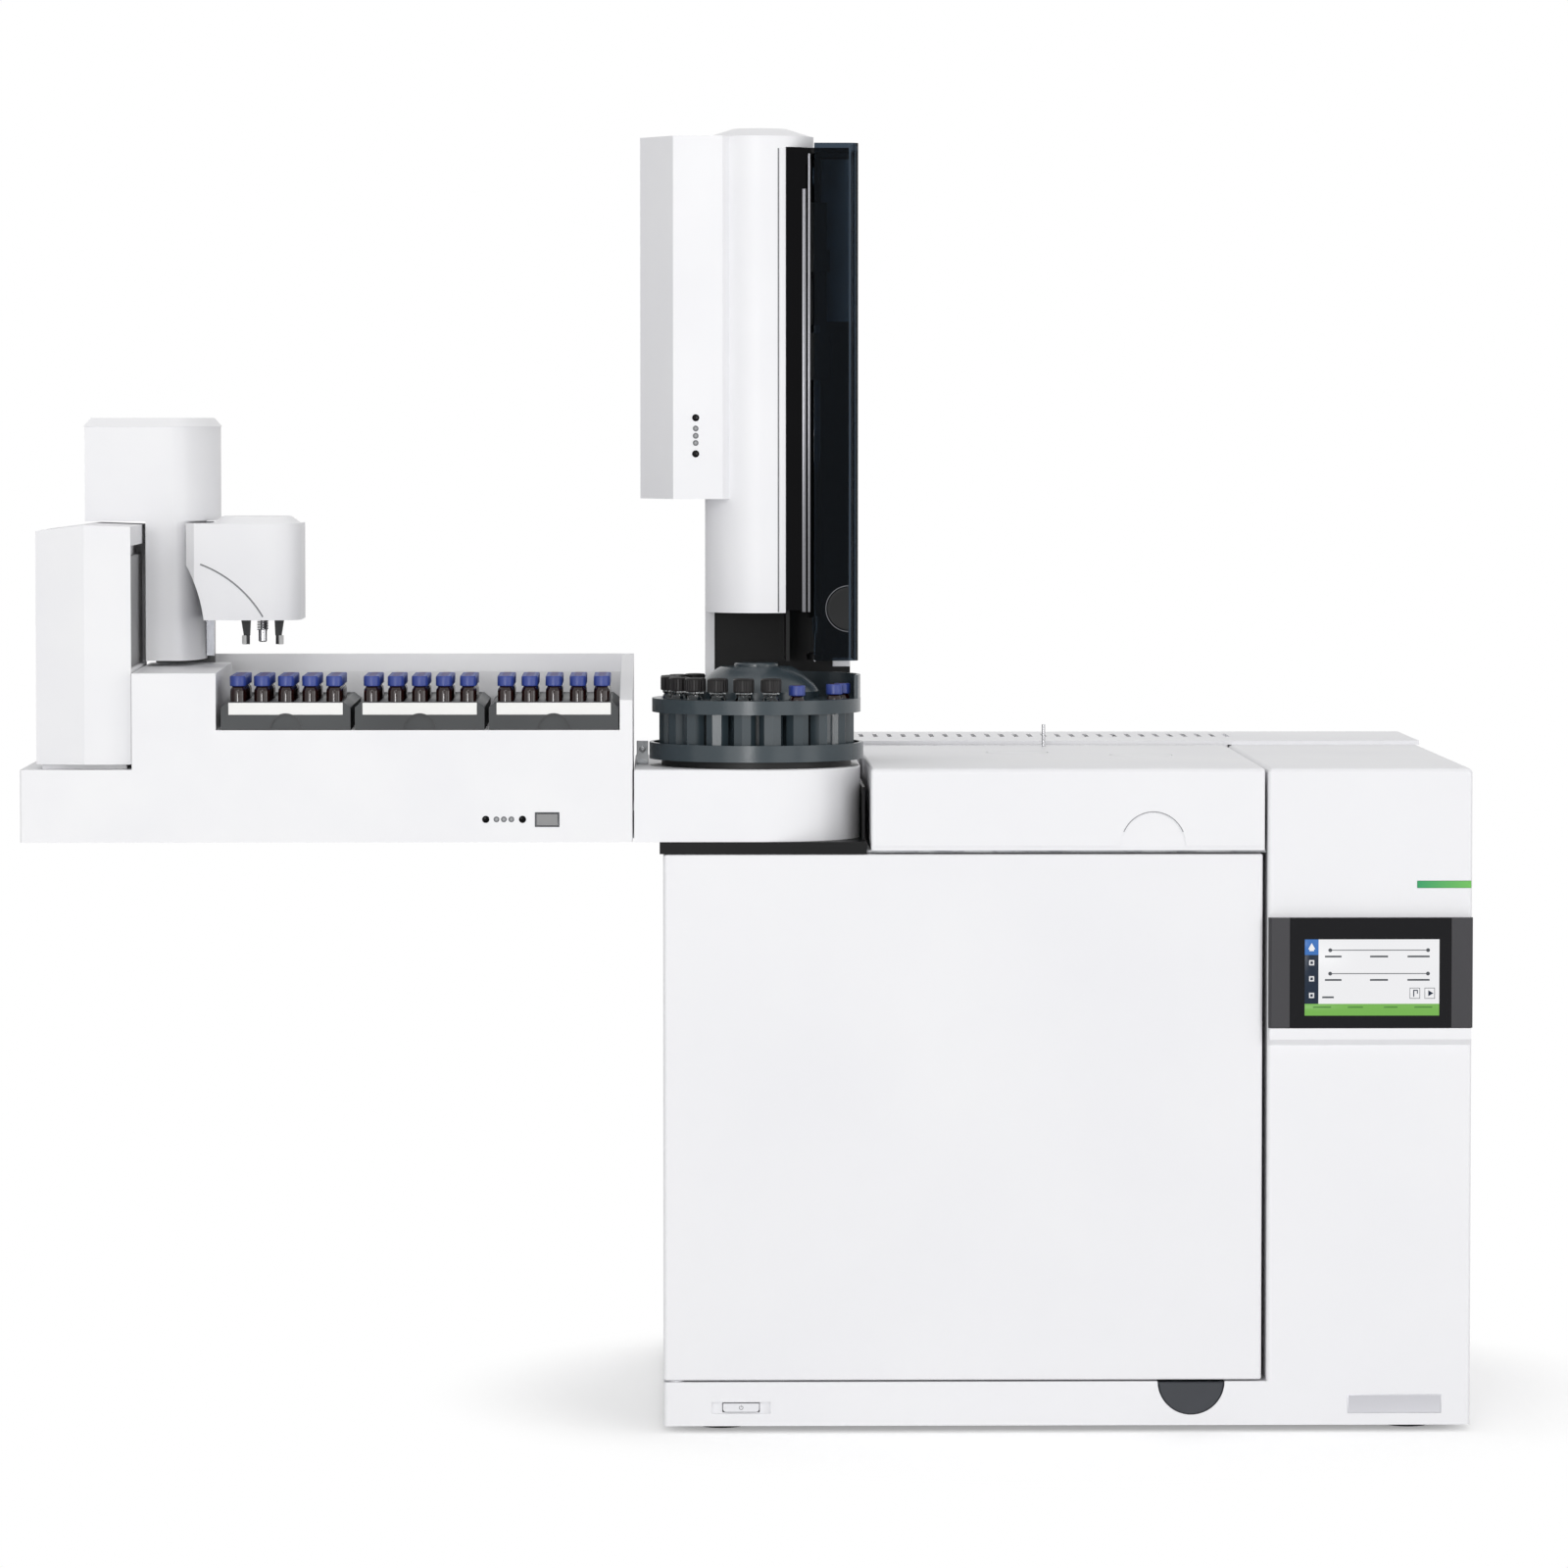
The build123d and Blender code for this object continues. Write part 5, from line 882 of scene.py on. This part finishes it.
world = bpy.data.worlds.new("studio")
bpy.context.scene.world = world
world.use_nodes = True
tree = world.node_tree
lighting = add_node(tree, "ShaderNodeBackground", values={"Color": (1, 1, 1, 1), "Strength": 0.5})
backdrop = add_node(tree, "ShaderNodeBackground", values={"Color": (1, 1, 1, 1), "Strength": 1.0})
either = add_node(tree, "ShaderNodeMixShader",
                  links={0: seen_directly(tree), 1: lighting.outputs["Background"],
                         2: backdrop.outputs["Background"]})
tree.links.new(either.outputs["Shader"], tree.nodes["World Output"].inputs["Surface"])


def softbox(name, place, aim, size, power):
    """A square studio light of a size in metres and a power in watts, facing a point."""
    lamp = bpy.data.lights.new(name, "AREA")
    lamp.shape = "SQUARE"
    lamp.size = size
    lamp.energy = power
    holder = bpy.data.objects.new(name, lamp)
    holder.location = place
    holder.rotation_euler = (Vector(aim) - Vector(place)).to_track_quat("-Z", "Y").to_euler()
    bpy.context.scene.collection.objects.link(holder)


softbox("key_softbox", (-1.9, -4.9, 1.3), (0, 0, 0.55), 2.2, 32)
softbox("fill_softbox", (2.5, -4.7, 1.25), (0, 0, 0.55), 2.2, 20)
softbox("front_softbox", (0.0, -5.2, 2.9), (0, 0, 0.55), 1.2, 28)
softbox("axis_softbox", (-0.75, -5.3, 0.75), (-0.3, 0, 0.65), 0.7, 31)
softbox("side_softbox", (3.0, -2.0, 1.0), (0, 0, 0.55), 1.2, 13)
softbox("top_softbox", (0.0, 0.4, 3.6), (0, 0, 0.4), 2.4, 15)

picture_side = 1600
focal_pixels = 7391.7
camera_yaw = 0.0161779
camera_pitch = -0.0506264
camera_data = bpy.data.cameras.new("front_view")
camera_data.sensor_width = 36.0
camera_data.lens = focal_pixels * camera_data.sensor_width / picture_side
camera = bpy.data.objects.new("front_view", camera_data)
camera.location = (-0.0579, -5.4735, 0.7327)
aim = Vector((sin(camera_yaw) * cos(camera_pitch), cos(camera_yaw) * cos(camera_pitch),
              sin(camera_pitch)))
camera.rotation_euler = aim.to_track_quat("-Z", "Y").to_euler()
bpy.context.scene.collection.objects.link(camera)
bpy.context.scene.camera = camera
bpy.context.scene.view_settings.view_transform = "Standard"
